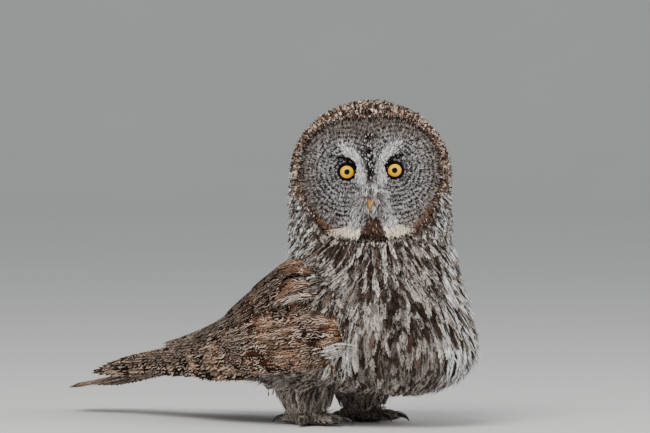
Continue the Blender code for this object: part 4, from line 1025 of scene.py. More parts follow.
def faceTones(x, height):
    count = len(x)
    dark, light = (np.tile(c, (count, 1)) for c in faceColours["disc"])
    rings = np.ones(count)

    def over(weight, name, ring):
        nonlocal dark, light, rings
        w = np.asarray(weight, float)
        rows = faceColours[name]
        dark = dark * (1 - w[:, None]) + rows[0] * w[:, None]
        light = light * (1 - w[:, None]) + rows[1] * w[:, None]
        rings = rings * (1 - w) + ring * w

    side = np.abs(x)
    share = discShare(x, height)
    angle = np.degrees(np.abs(np.arctan2(x, height - discForm["level"])))
    over(smooth(0.68, 0.93, share + 0.14 * smooth(60, 20, angle)) * 0.95, "outer", 0.6)
    light = light * (1 - 0.2 * smooth(302 * mm, 326 * mm, height))[:, None]
    rows = browLine[::-1]
    arc = np.interp(height, rows[:, 0], rows[:, 1])
    wide = np.interp(height, rows[:, 0], rows[:, 2])
    ends = smooth(314 * mm, 299 * mm, height) * smooth(212 * mm, 222 * mm, height)
    brow = smooth(1.35, 0.6, np.abs(side - arc) / wide) * ends * (0.84 - 0.62 * smooth(266 * mm, 248 * mm, height))
    over(brow, "brow", 0.5)
    # the cheeks beside the bill are darker
    cheek = smooth(276 * mm, 264 * mm, height) * smooth(226 * mm, 238 * mm, height) * smooth(36 * mm, 27 * mm, side)
    light = light * (1 - 0.22 * cheek)[:, None]
    # where the brow's feathers part, their pale roots show
    parting = (brow * smooth(11 * mm, 3 * mm, np.abs(height - 262 * mm)))[:, None]
    dark = dark * (1 - parting) + light * 0.4 * parting
    middle = np.interp(height, np.array((258, 285, 300, 335)) * mm, np.array((2.4, 3.2, 4.4, 8.5)) * mm)
    over(smooth(1.3, 0.6, np.abs(x + 1.5 * mm) / middle) * smooth(358 * mm, 325 * mm, height) * smooth(250 * mm, 262 * mm, height), "middle", 0.5)
    acrossEye, upEye = side - discForm["eyeSpacing"] / 2, height - discForm["eyeLevel"]
    eyeAway, eyeAngle = np.hypot(acrossEye, upEye), np.degrees(np.arctan2(upEye, acrossEye))
    over(smooth(9.9 * mm, 9.1 * mm, eyeAway), "crescent", 0.0)
    turned = np.where(eyeAngle < -150, eyeAngle + 360, eyeAngle)
    bend = np.clip((200 - turned) / 146, 0, 1)
    thick = (1.2 - 0.7 * bend + 0.5 * np.exp(-(((bend - 0.27) / 0.15) ** 2))) * mm
    over(smooth(1.3, 0.7, np.abs(eyeAway - np.interp(bend, *archLine)) / thick) * smooth(46, 58, turned) * smooth(214, 200, turned), "crescent", 0.0)
    # a dark patch on one side of the bill: painted shadow of the bill over dark bristly feathers
    over(smooth(6.5 * mm, 3 * mm, np.hypot(x - 9.5 * mm, height - 250 * mm)) * 0.6, "middle", 0.3)
    # pale wedges above the moustache
    wedge = np.hypot((side - 21 * mm) / 6.5, (height - 228 * mm) / 9)
    over(smooth(1.25 * mm, 0.5 * mm, wedge) * 0.6, "brow", 0.2)
    curl = np.hypot(x + 8.5 * mm, height - 230.5 * mm)
    over(smooth(2.0 * mm, 0.7 * mm, np.abs(curl - 4.4 * mm)) * 0.75, "middle", 0.0)
    above = smooth(210 * mm, 220 * mm, height) * np.maximum(smooth(226 * mm, 240 * mm, height), smooth(38 * mm, 46 * mm, side))
    # the dark line inside the rim is wider over the forehead
    over(smooth(0.925, 0.95, share + 0.022 * smooth(78, 48, angle)) * above, "line", 0.4)
    over(smooth(0.965, 0.985, share) * above, "rim", 0.4)
    over(smooth(0.88, 0.94, share) * smooth(110, 124, angle) * smooth(156, 148, angle), "corner", 0.4)
    chinWidth = np.interp(height, (206 * mm, 236 * mm), (15 * mm, 3 * mm))
    over(smooth(1.15, 0.85, side / chinWidth) * smooth(238 * mm, 230 * mm, height), "chin", 0.0)
    over(smooth(210 * mm, 205 * mm, height), "throat", 0.0)
    return dark, light, rings


def pickedFace(points, part):
    # tones of any points of the skin, from the face inside the disc and the coat elsewhere
    dark, light, _ = coatTones(points, part, 0.0)
    place = np.zeros((len(points), 3))
    face = toFace(points)
    inside = part == 0
    faceDark, faceLight, rings = faceTones(face[inside, 0], face[inside, 2])
    dark[inside], light[inside] = faceDark, faceLight
    place[inside] = np.column_stack([face[inside, 0], face[inside, 2] - discForm["level"], rings])
    return dark, light, place


print("skin piece")
skin = bpy.data.objects.new("skin", skinMesh)
skinMesh.name = "skin"
bpy.context.scene.collection.objects.link(skin)
skinMesh.shade_smooth()
skinMesh.materials.clear()
skinMesh.materials.append(skinMaterial)
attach(skin, "root")
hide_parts("head", "facial_disc", "neck", "torso", "leg_left", "leg_right", "foot_left", "foot_right")
skinPart = partOf(skinPoints, skinNormals)
skinDark, skinLight, skinPlace = pickedFace(skinPoints, skinPart)
addPoints(skin, "darkTone", skinDark, "FLOAT_COLOR")
addPoints(skin, "lightTone", skinLight, "FLOAT_COLOR")
addPoints(skin, "place", skinPlace)


# The coat, part by part: spacing of the roots, length and half width of a feather, its form
coats = {
    "crownCoat": {"part": "head", "apart": 2.6, "length": 12, "halfWidth": 2.9, "steps": 3,
                  "material": crownMaterial, "slot": "crown_feathers",
                  "shape": {"columns": 5, "rootLift": 0.2, "tipLift": 3.4, "liftPower": 0.9, "camber": 0.35, "fray": 0.7, "roll": 0.16, "rootWidth": 0.45, "tipPower": 4, "liftSpread": 0.22}},
    "neckCoat": {"part": "neck", "apart": 3.5, "length": 19, "halfWidth": 3.0, "steps": 4,
                 "material": neckMaterial, "slot": "body_feathers",
                 "shape": {"columns": 6, "rootLift": 0.3, "tipLift": 5.6, "liftPower": 0.8, "camber": 0.4, "fray": 0.9, "roll": 0.18, "rootWidth": 0.4, "tipPower": 4, "liftSpread": 0.25}},
    "throatCoat": {"part": "throat", "apart": 4.0, "length": 23, "halfWidth": 3.5, "steps": 4,
                   "material": bodyMaterial, "slot": "body_feathers",
                   "shape": {"columns": 8, "rootLift": 0.4, "tipLift": 6.4, "liftPower": 0.8, "camber": 0.4, "fray": 1.0, "roll": 0.18, "rootWidth": 0.4, "tipPower": 4, "liftSpread": 0.25}},
    "bodyCoat": {"part": "body", "apart": 4.9, "length": 31, "halfWidth": 4.9, "steps": 5,
                 "material": bodyMaterial, "slot": "body_feathers",
                 "shape": {"columns": 10, "rootLift": 0.4, "tipLift": 7.2, "liftPower": 0.75, "camber": 0.4, "fray": 1.0, "roll": 0.16, "rootWidth": 0.35, "tipPower": 4, "liftSpread": 0.22}},
    "wingCoat": {"part": "wing", "apart": 5.6, "length": 25, "halfWidth": 6.2, "steps": 4,
                 "material": wingMaterial, "slot": "wing_feathers",
                 "shape": {"columns": 7, "rootLift": 0.3, "tipLift": 4.6, "liftPower": 0.8, "camber": 0.3, "fray": 0.6, "roll": 0.10, "rootWidth": 0.4, "tipPower": 5, "liftSpread": 0.15}},
    "legCoat": {"part": "leg", "apart": 3.0, "length": 14, "halfWidth": 2.2, "steps": 3,
                "material": legMaterial, "slot": "leg_feathers",
                "shape": {"columns": 4, "rootLift": 0.2, "tipLift": 3.8, "liftPower": 0.8, "camber": 0.4, "fray": 1.2, "roll": 0.25, "rootWidth": 0.4, "tipPower": 3, "liftSpread": 0.3}},
    "footCoat": {"part": "foot", "apart": 1.9, "length": 6.5, "halfWidth": 1.1, "steps": 2,
                 "material": legMaterial, "slot": "leg_feathers",
                 "shape": {"columns": 3, "rootLift": 0.1, "tipLift": 1.3, "liftPower": 0.8, "camber": 0.4, "fray": 1.0, "roll": 0.25, "rootWidth": 0.5, "tipPower": 3, "liftSpread": 0.3}},
}


def clearOfWing(path, up, limit, body):
    # leaves out feathers past the rump, over the edge of the folded wing or across its front
    tip = path[:, -1]
    x, back = tip[:, 0] - headX, tip[:, 1] - headY
    overEdge = (up[:, :, 1].max(axis=1) > 0.74) & (np.abs(x) > 38 * mm) & (back < 205 * mm)
    place, angle, close = wingCoordinates(tip)
    onFront = (place > -34 * mm) & (angle > np.interp(place / mm, *wingForm["tops"]) + 3) & (angle < 112) & (close > 0.9)
    onFront &= (tip[:, 2] > 96 * mm) & (rng.random(len(tip)) < 0.85) & body
    return (back < limit * mm) & ~overEdge & ~onFront


def makeCoat(name, settings):
    wanted = candidateParts == partNames.index(settings["part"])
    roots, normals = rootsFor(wanted, settings["apart"] * mm)
    count = len(roots)
    lengths = settings["length"] * mm * rng.uniform(0.82, 1.15, count)
    halfWidth = settings["halfWidth"] * mm * rng.uniform(0.8, 1.15, count)
    if name == "bodyCoat":
        # longer and broader down the back, shorter towards the throat
        back = roots[:, 1] - headY
        wide = smooth(20 * mm, 110 * mm, back) * smooth(60 * mm, 90 * mm, roots[:, 2])
        halfWidth *= 1 + 0.4 * wide
        throat = smooth(100 * mm, 130 * mm, roots[:, 2]) * smooth(40 * mm, 0 * mm, back)
        lengths *= 1 - 0.3 * throat
        halfWidth *= 1 - 0.3 * throat
    if name == "crownCoat":
        # the rim's feathers are short
        place = toFace(roots)
        rimward = smooth(1.28, 1.03, discShare(place[:, 0], place[:, 2])) * (place[:, 1] < -10 * mm)
        lengths *= 1 - 0.45 * rimward
        halfWidth *= 1 - 0.25 * rimward
    swerve = rng.normal(size=count) * 0.11
    path, up = walk(roots, normals, lengths, settings["steps"], swerve)
    kept = clearOfWing(path, up, 148 if settings["part"] == "wing" else 238, settings["part"] in ("body", "throat"))
    roots, path, up, halfWidth, count = roots[kept], path[kept], up[kept], halfWidth[kept], kept.sum()
    tones = coatTones(roots + (path[:, -1] - roots) * 0.6, np.full(count, partNames.index(settings["part"])))
    piece = plumes(name, path, up, halfWidth, settings["shape"], tones, unwrapBody(roots), settings["material"])
    print(name, count, "plumes", len(piece.data.polygons), "triangles")
    return piece


for name, settings in coats.items():
    makeCoat(name, settings)

# Loose barbs between the feathers of the body, neck and crown
looseLook = {
    "bodyBarbs": {"part": "body", "apart": 4.4, "length": 15, "halfWidth": 0.5, "lift": 7.4},
    "throatBarbs": {"part": "throat", "apart": 5.0, "length": 12, "halfWidth": 0.45, "lift": 6.4},
    "neckBarbs": {"part": "neck", "apart": 5.2, "length": 12, "halfWidth": 0.45, "lift": 5.4},
    "crownBarbs": {"part": "head", "apart": 3.8, "length": 6, "halfWidth": 0.4, "lift": 3.6},
}
looseShape = {"columns": 3, "rootLift": 0.2, "liftPower": 0.7, "camber": 0.2, "fray": 1.2, "roll": 0.5, "rootWidth": 0.6, "tipPower": 3, "liftSpread": 0.25}


def makeLoose(name, settings):
    roots, normals = rootsFor(candidateParts == partNames.index(settings["part"]), settings["apart"] * mm)
    path, up = walk(roots, normals, settings["length"] * mm * rng.uniform(0.6, 1.3, len(roots)), 3, rng.normal(size=len(roots)) * 0.28)
    kept = clearOfWing(path, up, 238, settings["part"] == "body")
    roots, path, up, count = roots[kept], path[kept], up[kept], kept.sum()
    dark, light, plan = coatTones(path[:, -1], np.full(count, partNames.index(settings["part"])))
    # dark barbs where the streaks are dark
    pale = rng.random((count, 1)) < np.clip(1.05 - 1.05 * plan[:, :1] - 0.13 * plan[:, 1:2], 0.12, 0.85)
    tone = np.where(pale, light, dark)
    shape = {**looseShape, "tipLift": settings["lift"]}
    piece = plumes(name, path, up, settings["halfWidth"] * mm * rng.uniform(0.6, 1.4, count), shape, (tone * 0.8, tone, plan), unwrapBody(roots), crownMaterial)
    print(name, count, "barbs", len(piece.data.polygons), "triangles")


for name, settings in looseLook.items():
    makeLoose(name, settings)


# A tuft of white flank feathers that lies over the lower front corner of the bird's right wing
flankTuft = {"count": 20, "roots": ((-56, -46), (106, 121)), "tips": ((-34, -18), (102, 111)), "lift": (1.0, 6.5), "halfWidth": 2.7}


def makeFlankTuft(settings):
    count = settings["count"]
    high = rng.random(count)
    start = rng.uniform(*settings["roots"][0], count)
    end = settings["tips"][0][0] + (settings["tips"][0][1] - settings["tips"][0][0]) * rng.random(count)
    path, up = [], []
    for t in np.linspace(0, 1, 6):
        angles = [low + (top - low) * high for low, top in (settings["roots"][1], settings["tips"][1])]
        lift = settings["lift"][0] + (settings["lift"][1] - settings["lift"][0]) * np.sin(t * np.pi * 0.62)
        points, normals = wingSheet((start + (end - start) * t) * mm, angles[0] + (angles[1] - angles[0]) * t, lift * mm, -1)
        path.append(points)
        up.append(normals)
    path, up = np.stack(path, axis=1), np.stack(up, axis=1)
    dark, light = np.tile(paint(70, 56, 48), (count, 1)), np.tile(paint(250, 244, 238), (count, 1))
    light = light * np.clip(0.85 + 0.3 * rng.normal(size=(count, 1)), 0.3, 1)
    plan = np.tile((0.3, 0.6, 0.6), (count, 1))
    shape = dict(coats["neckCoat"]["shape"], columns=8, rootLift=0.0, tipLift=1.5)
    plumes("flankTuft", path, up, settings["halfWidth"] * mm * rng.uniform(0.7, 1.2, count), shape, (dark, light, plan), unwrapBody(path[:, 0]), neckMaterial)


makeFlankTuft(flankTuft)


# The disc: fine blades that point away from the nearer eye and lie in the dish
discCoat = {"apart": 1.25, "length": 8.5, "width": 0.62, "blades": 2, "lift": 1.9}


def facePoint(x, height, lift):
    forward = discDepth(x, height) + lift
    return fromFace(np.stack([x, -forward, height], axis=-1))


def faceLie(x, height):
    # direction of the disc's feathers at a place on the face
    side = np.where(x < 0, -1.0, 1.0)
    away = np.stack([x - side * discForm["eyeSpacing"] / 2, height - discForm["eyeLevel"]], axis=-1)
    away = unit(away)
    rows = browLine[::-1]
    arc = np.interp(height, rows[:, 0], rows[:, 1])
    wide = np.interp(height, rows[:, 0], rows[:, 2])
    slope = (np.interp(height + mm, rows[:, 0], rows[:, 1]) - np.interp(height - mm, rows[:, 0], rows[:, 1])) / (2 * mm)
    upward = np.where(height > 262 * mm, 1.0, -1.0)
    along = unit(np.stack([side * slope, np.ones_like(x)], axis=-1)) * upward[..., None]
    near = smooth(1.8, 0.8, np.abs(np.abs(x) - arc) / wide)[..., None] * (smooth(208 * mm, 222 * mm, height) * smooth(322 * mm, 305 * mm, height))[..., None]
    middle = (smooth(9 * mm, 3 * mm, np.abs(x)) * smooth(232 * mm, 240 * mm, height))[..., None]
    straight = np.stack([0.12 * side, upward], axis=-1)
    below = smooth(240 * mm, 228 * mm, height)[..., None] * smooth(18 * mm, 10 * mm, np.abs(x))[..., None]
    out = away * (1 - near) + along * near
    out = out * (1 - middle) + straight * middle
    out = out * (1 - below) + np.stack([0.25 * x / (10 * mm), -np.ones_like(x)], axis=-1) * below
    return unit(out)


def faceBlades(name, x, height, length, width, lift, swerve, tones, curl=0.0):
    # narrow blades with a root, a middle and a point, on the surface of the dish
    steps = (0, 0.4, 0.75, 1.0)
    lifts = (0.1, 0.75, 1.0, 0.85)
    wide = (0.7, 1.0, 0.7, 0.0)
    spotX, spotUp = x.copy(), height.copy()
    turn = swerve
    centres, acrosses, places = [], [], []
    lie = None
    for k, step in enumerate(steps):
        lie = faceLie(spotX, spotUp)
        lie = np.stack([lie[:, 0] * np.cos(turn) - lie[:, 1] * np.sin(turn), lie[:, 0] * np.sin(turn) + lie[:, 1] * np.cos(turn)], axis=1)
        if k:
            run = (step - steps[k - 1]) * length
            spotX, spotUp = spotX + lie[:, 0] * run, spotUp + lie[:, 1] * run
            turn = turn + curl
        centres.append(facePoint(spotX, spotUp, lift * lifts[k]))
        side = np.stack([lie[:, 1], np.zeros(len(x)), -lie[:, 0]], axis=1)
        acrosses.append(side @ fromFaceMatrix[:3, :3].T)
        places.append((spotX.copy(), spotUp.copy()))
    rows, local, place = [], [], []
    dark, light, rings = tones
    for k in range(3):
        for side in (-1, 1):
            rows.append(centres[k] + side * acrosses[k] * (width * wide[k])[:, None])
            local.append((side, steps[k]))
            place.append(places[k])
    rows.append(centres[3])
    local.append((0, 1))
    place.append(places[3])
    vertices = np.stack(rows, axis=1)
    count = len(x)
    faces = np.array([(0, 1, 3), (0, 3, 2), (2, 3, 5), (2, 5, 4), (4, 5, 6)])
    faces = (faces[None] + (np.arange(count) * 7)[:, None, None]).reshape(-1, 3)
    piece = newPiece(name, vertices.reshape(-1, 3), faces, faceMaterial)
    local = np.tile(np.array(local, float), (count, 1))
    placeX = np.stack([p[0] for p in place], axis=1).ravel()
    placeUp = np.stack([p[1] for p in place], axis=1).ravel()
    addPoints(piece, "place", np.column_stack([placeX, placeUp - discForm["level"], np.repeat(rings, 7)]))
    addPoints(piece, "vane", np.column_stack([local, np.repeat(rng.random(count), 7)]))
    addPoints(piece, "darkTone", np.repeat(dark, 7, axis=0), "FLOAT_COLOR")
    addPoints(piece, "lightTone", np.repeat(light, 7, axis=0), "FLOAT_COLOR")
    addBakeMap(piece, np.repeat(unwrapDisc(x, height), 7, axis=0) + 0.0015 * np.column_stack([local[:, 0], 2 * local[:, 1] - 1]))
    print(name, count, "blades", len(faces), "triangles")
    return piece


def scatterFace(apart, grow=1.0):
    # roots spread over the disc, clear of the eyes
    tries = int(2.6 * (170 / apart) ** 2)
    x = rng.uniform(-86, 86, tries) * mm
    height = rng.uniform(202, 362, tries) * mm
    keep = discShare(x, height) < grow
    x, height = x[keep], height[keep]
    kept = thin(np.stack([x, height, 0 * x], axis=1), apart * mm)
    x, height = x[kept], height[kept]
    clear = np.hypot(np.abs(x) - discForm["eyeSpacing"] / 2, height - discForm["eyeLevel"]) > 9.3 * mm
    return x[clear], height[clear]


def vary(colours, amount):
    return np.clip(colours * (1 + amount * rng.normal(size=(len(colours), 1))), 0, 0.95)


print("face")
x, height = scatterFace(discCoat["apart"])
x, height = np.repeat(x, discCoat["blades"]), np.repeat(height, discCoat["blades"])
x, height = x + rng.normal(size=len(x)) * 0.4 * mm, height + rng.normal(size=len(x)) * 0.4 * mm
tips = np.stack([x, height], axis=1) + faceLie(x, height) * 4 * mm
x, height, tips = x[tips[:, 1] > 208 * mm], height[tips[:, 1] > 208 * mm], tips[tips[:, 1] > 208 * mm]
dark, light, rings = faceTones(tips[:, 0], tips[:, 1])
length = discCoat["length"] * mm * rng.uniform(0.75, 1.2, len(x)) * (0.5 + 0.5 * smooth(11 * mm, 24 * mm, np.hypot(np.abs(x) - 26 * mm, height - 281 * mm)))
length *= 1 - 0.7 * smooth(0.86, 0.98, discShare(x, height))
lift = discCoat["lift"] * mm * np.clip(1 + 0.35 * rng.normal(size=len(x)), 0.3, 2)
# streaks of the breast begin below the moustache
low = tips[:, 1] < 213 * mm
light[low] = np.where(rng.random((low.sum(), 1)) < 0.6, dark[low] * 1.8, light[low] * 0.6)
# dark, tawny and pale tips take turns along the rim
edge = discShare(x, height) > 0.93
pick = rng.random((edge.sum(), 1))
light[edge] = np.where(pick < 0.42, dark[edge] * 1.3, np.where(pick > 0.91, faceColours["brow"][1], light[edge]))
faceBlades("discCoat", x, height, length, discCoat["width"] * mm * rng.uniform(0.7, 1.2, len(x)), lift, rng.normal(size=len(x)) * 0.13, (vary(dark, 0.45), vary(light, 0.32), rings))

# Brows, the dark middle line, moustache, chin and the bristles by the bill
tuftSets = {
    "browTufts": {"count": 1900, "length": (7, 12), "width": 0.42, "lift": 2.8, "swerve": 0.32},
    "middleTufts": {"count": 400, "length": (3, 7), "width": 0.5, "lift": 3.0, "swerve": 0.5},
    "crescents": {"each": 420, "length": (1.6, 3.2), "width": 0.42, "lift": 3.4, "swerve": 0.14},
    "bristles": {"count": 560, "length": (9, 15), "width": 0.3, "lift": 5.0, "swerve": 0.45},
    "billCover": {"count": 700, "halfWidth": 0.62},
    "billSides": {"each": 200, "length": (9, 15), "width": 0.34, "lift": 8.5, "swerve": 0.22},
}


def browTufts(settings):
    count = settings["count"]
    rows = browLine[::-1]
    height = (222 + 86 * rng.random(count)) * mm
    side = np.where(rng.random(count) < 0.5, -1.0, 1.0)
    arc, wide = (np.interp(height, rows[:, 0], rows[:, k]) for k in (1, 2))
    x = side * (arc + rng.normal(size=count) * 0.42 * wide)
    clear = np.hypot(np.abs(x) - 26 * mm, height - 281 * mm) > 13.2 * mm
    x, height = x[clear], height[clear]
    count = len(x)
    grey = rng.random((count, 1)) < np.where(height < 262 * mm, 0.55, 0.25)[:, None]
    tones = [np.where(grey, a, b) for a, b in zip(faceColours["disc"], faceColours["brow"])]
    tones[1] = tones[1] * (1 - 0.34 * smooth(266 * mm, 252 * mm, height))[:, None]
    parting = smooth(11 * mm, 3 * mm, np.abs(height - 262 * mm))[:, None]
    tones[0] = tones[0] * (1 - parting) + tones[1] * 0.4 * parting
    length = rng.uniform(*settings["length"], count) * mm
    lift = settings["lift"] * mm * rng.uniform(0.5, 1.15, count)
    return faceBlades("browTufts", x, height, length, np.full(count, settings["width"] * mm), lift, rng.normal(size=count) * settings["swerve"], (vary(tones[0], 0.5), vary(tones[1], 0.35), np.full(count, 0.15)))


def middleTufts(settings):
    # black and a few white feathers down the middle of the forehead, in clumps
    count = settings["count"]
    height = (264 + 56 * rng.beta(1.6, 1.2, count)) * mm
    clump = np.sin(height / (2.6 * mm)) * 0.5 + 0.5
    x = (-1.6 + rng.normal(size=count) * (0.7 + 1.3 * clump)) * mm
    pale = rng.random((count, 1)) < 0.14
    dark = np.where(pale, faceColours["brow"][0] * 4, faceColours["crescent"][0])
    light = np.where(pale, faceColours["brow"][1] * 1.2, faceColours["crescent"][1] * 1.6)
    length = rng.uniform(*settings["length"], count) * mm
    return faceBlades("middleTufts", x, height, length, np.full(count, settings["width"] * mm), settings["lift"] * mm * rng.uniform(0.6, 1.2, count), rng.normal(size=count) * settings["swerve"], (dark, light, np.zeros(count)))


def crescents(settings):
    # the black arch from each eye's inner corner up and out over the eye
    count = 2 * settings["each"]
    bend = rng.random(count) ** 1.1
    turned = np.radians(200 - 146 * bend)
    thick = 0.8 - 0.5 * bend + 0.5 * np.exp(-(((bend - 0.27) / 0.15) ** 2))
    away = np.interp(bend, *archLine) - 0.5 * mm + thick * mm * rng.uniform(-1, 1, count)
    side = np.where(np.arange(count) % 2 == 0, -1.0, 1.0)
    x = side * (discForm["eyeSpacing"] / 2 + away * np.cos(turned))
    height = discForm["eyeLevel"] + away * np.sin(turned)
    dark, light = (np.tile(c, (count, 1)) for c in faceColours["crescent"])
    length = rng.uniform(*settings["length"], count) * mm
    return faceBlades("crescents", x, height, length, np.full(count, settings["width"] * mm), settings["lift"] * mm * rng.uniform(0.8, 1.1, count), side * 1.4 * smooth(0, 0.45, bend) + rng.normal(size=count) * settings["swerve"], (dark, light, np.zeros(count)))


def bristles(settings):
    # stiff bristles that lie forward past both sides of the bill
    count = settings["count"]
    side = np.where(rng.random(count) < 0.5, -1.0, 1.0)
    x = (side * rng.uniform(4.5, 11, count) - 1.2) * mm
    height = rng.uniform(240, 260, count) * mm
    dark = np.where(rng.random((count, 1)) < 0.5, faceColours["disc"][0], faceColours["brow"][0])
    light = np.where(rng.random((count, 1)) < 0.45, faceColours["middle"][1], faceColours["brow"][1]) * 0.66
    length = rng.uniform(*settings["length"], count) * mm
    return faceBlades("bristles", x, height, length, np.full(count, settings["width"] * mm), settings["lift"] * mm * rng.uniform(0.4, 1.2, count), rng.normal(size=count) * settings["swerve"], (dark, light, np.zeros(count)))


def billSides(settings):
    # feathers that run down both sides of the bill and hide its edges
    count = 2 * settings["each"]
    side = np.where(np.arange(count) % 2 == 0, -1.0, 1.0)
    x = (side * rng.uniform(3.9, 9.0, count) - 1.4) * mm
    height = rng.uniform(246, 260, count) * mm
    dark = np.where(rng.random((count, 1)) < 0.6, faceColours["middle"][0], faceColours["brow"][0])
    light = np.where(rng.random((count, 1)) < 0.55, faceColours["middle"][1], faceColours["brow"][1]) * 0.7
    length = rng.uniform(*settings["length"], count) * mm
    forward = settings["lift"] * np.interp(np.abs(x), (4 * mm, 10 * mm), (1.5, 0.45)) * mm
    return faceBlades("billSides", x, height, length, np.full(count, settings["width"] * mm), forward * rng.uniform(0.7, 1.15, count), -side * 0.08 + rng.normal(size=count) * settings["swerve"], (vary(dark, 0.4), vary(light, 0.25), np.zeros(count)))


browTufts(tuftSets["browTufts"])
middleTufts(tuftSets["middleTufts"])
billSides(tuftSets["billSides"])
crescents(tuftSets["crescents"])
bristles(tuftSets["bristles"])


def facePlumes(name, start, middle, end, halfWidth, shape, tones, turnsAt=0.0):
    # feathers along bent lines of (x, height, lift) on the face
    steps = 5
    path, up = [], []
    for t in np.linspace(0, 1, steps + 1):
        a, b = start + (middle - start) * t, middle + (end - middle) * t
        spot = a + (b - a) * t
        path.append(facePoint(spot[:, 0], spot[:, 1], spot[:, 2]))
        outward = np.stack([spot[:, 0] / (90 * mm) * 0.8, -np.ones(len(spot)), (spot[:, 1] - 262 * mm) / (120 * mm)], axis=1)
        up.append(unit(outward) @ fromFaceMatrix[:3, :3].T)
    dark, light = tones
    count = len(start)
    plan = np.zeros((count, 3))
    piece = plumes(name, np.stack(path, axis=1), np.stack(up, axis=1), halfWidth, shape, (dark, light, plan), unwrapDisc(start[:, 0], start[:, 1]), faceMaterial)
    addPoints(piece, "place", np.zeros((len(piece.data.vertices), 3)))
    # the tip tone starts only beyond turnsAt of the length
    vane = np.empty(len(piece.data.vertices) * 3, np.float32)
    piece.data.attributes["vane"].data.foreach_get("vector", vane)
    vane[1::3] = np.clip((vane[1::3] - turnsAt) / (1 - turnsAt), 0, 1)
    piece.data.attributes["vane"].data.foreach_set("vector", vane)
    print(name, count, "plumes", len(piece.data.polygons), "triangles")
    return piece


def billCover(settings):
    # short feathers that hug the root of the bill from above, down to the horn's tip
    count = settings["count"]
    x = np.clip(rng.normal(size=count) * 3.4, -7.5, 7.5) - 1.2
    top, reach = rng.uniform(256, 277, count), rng.uniform(8, 13, count)
    path, up = [], []
    for t in np.linspace(0, 1, 5):
        height = np.maximum(top - reach * t, 253 + 0.3 * np.abs(x + 1.2))
        spread = x * (1 + 0.12 * t)
        culmen = np.interp(height, (245.5, 251, 256, 261, 265), (95.8, 95.0, 93.2, 88.0, 81.0)) - 0.16 * (spread + 1.2) ** 2
        face = discDepth(spread * mm, height * mm) / mm
        out = np.maximum(culmen, face) + 0.2 + 1.4 * np.sin(t * np.pi / 2)
        path.append(fromFace(np.stack([spread, -out, height], axis=1) * mm))
        up.append(unit(np.stack([spread / 7, -np.ones(count), smooth(250, 268, height)], axis=1)) @ fromFaceMatrix[:3, :3].T)
    spot = rng.random(count) < np.interp(np.abs(x + 1.2), (0, 2.5, 6), (0.9, 0.6, 0.3))
    dark = np.where(spot[:, None], faceColours["middle"][0], faceColours["brow"][0])
    light = np.where(spot[:, None], faceColours["middle"][1] * rng.choice([0.2, 1.0], (count, 1)), faceColours["brow"][1])
    piece = plumes("billCover", np.stack(path, axis=1), np.stack(up, axis=1), settings["halfWidth"] * mm * rng.uniform(0.7, 1.3, count), {**lockShape, "columns": 4}, (vary(dark, 0.4), vary(light, 0.25), np.zeros((count, 3))), unwrapDisc(x * mm, top * mm), faceMaterial)
    addPoints(piece, "place", np.zeros((len(piece.data.vertices), 3)))
    return piece


lockShape = {"columns": 7, "rootLift": 0.0, "tipLift": 0.0, "liftPower": 1.0, "camber": 0.3, "fray": 1.2, "roll": 0.25, "rootWidth": 0.4, "tipPower": 4, "liftSpread": 0.0}
moustache = {"each": 330, "halfWidth": 1.7}
chin = {"count": 380, "halfWidth": 1.15}


def makeMoustache(settings):
    starts, middles, ends = [], [], []
    for side in (-1, 1):
        q = rng.random(settings["each"])
        deep = rng.normal(size=settings["each"])
        # q runs from the outermost feathers to those beside the chin
        starts.append(np.stack([side * (15 - 8 * q + deep) - 0.5, 231 + 3 * q + 2.5 * rng.normal(size=len(q)), -1.0 + 0 * q], axis=1))
        middles.append(np.stack([side * (24 - 10 * q + deep) - 1.0, 218 + 2 * q + 1.2 * rng.normal(size=len(q)), 1.8 + 1.0 * rng.random(len(q))], axis=1))
        reach = rng.uniform(0.84, 1.03, len(q))
        ends.append(np.stack([side * (44 - 28 * q) * reach - 1.2, 217 - 6.5 * np.sqrt(q) + 1.1 * rng.normal(size=len(q)), 1.4 + 1.2 * rng.random(len(q))], axis=1))
    start, middle, end = (np.concatenate(rows) * mm for rows in (starts, middles, ends))
    count = len(start)
    dark = np.tile(paint(196, 186, 174), (count, 1))
    fleck = rng.random((count, 1)) < 0.08
    light = np.where(fleck, faceColours["corner"][1], faceColours["cream"][1])
    return facePlumes("moustache", start, middle, end, settings["halfWidth"] * mm * rng.uniform(0.7, 1.2, count), lockShape, (vary(dark, 0.3), vary(light, 0.1)), 0.12)


def makeChin(settings):
    count = settings["count"]
    x = rng.uniform(-1, 1, count)
    top = rng.uniform(224, 238, count)
    low = (238 - top) / 14
    start = np.stack([x * (0.8 + 2.4 * low) - 1.0, top, -1.0 + 0 * x], axis=1)
    middle = np.stack([x * (0.9 + 5.4 * low) - 1.0, start[:, 1] - 6, 1.2 + 1.0 * rng.random(count)], axis=1)
    end = np.stack([x * (1.5 + 12 * low) - 1.5, start[:, 1] - rng.uniform(9, 15, count), 0.8 + 1.0 * rng.random(count)], axis=1)
    dark, light = (np.tile(c, (count, 1)) for c in faceColours["chin"])
    light = np.where(rng.random((count, 1)) < 0.26, faceColours["rim"][1] * 1.7, light)
    return facePlumes("chin", start * mm, middle * mm, end * mm, settings["halfWidth"] * mm * rng.uniform(0.7, 1.2, count), lockShape, (vary(dark, 0.5), vary(light, 0.6)))


billCover(tuftSets["billCover"])
makeMoustache(moustache)
makeChin(chin)


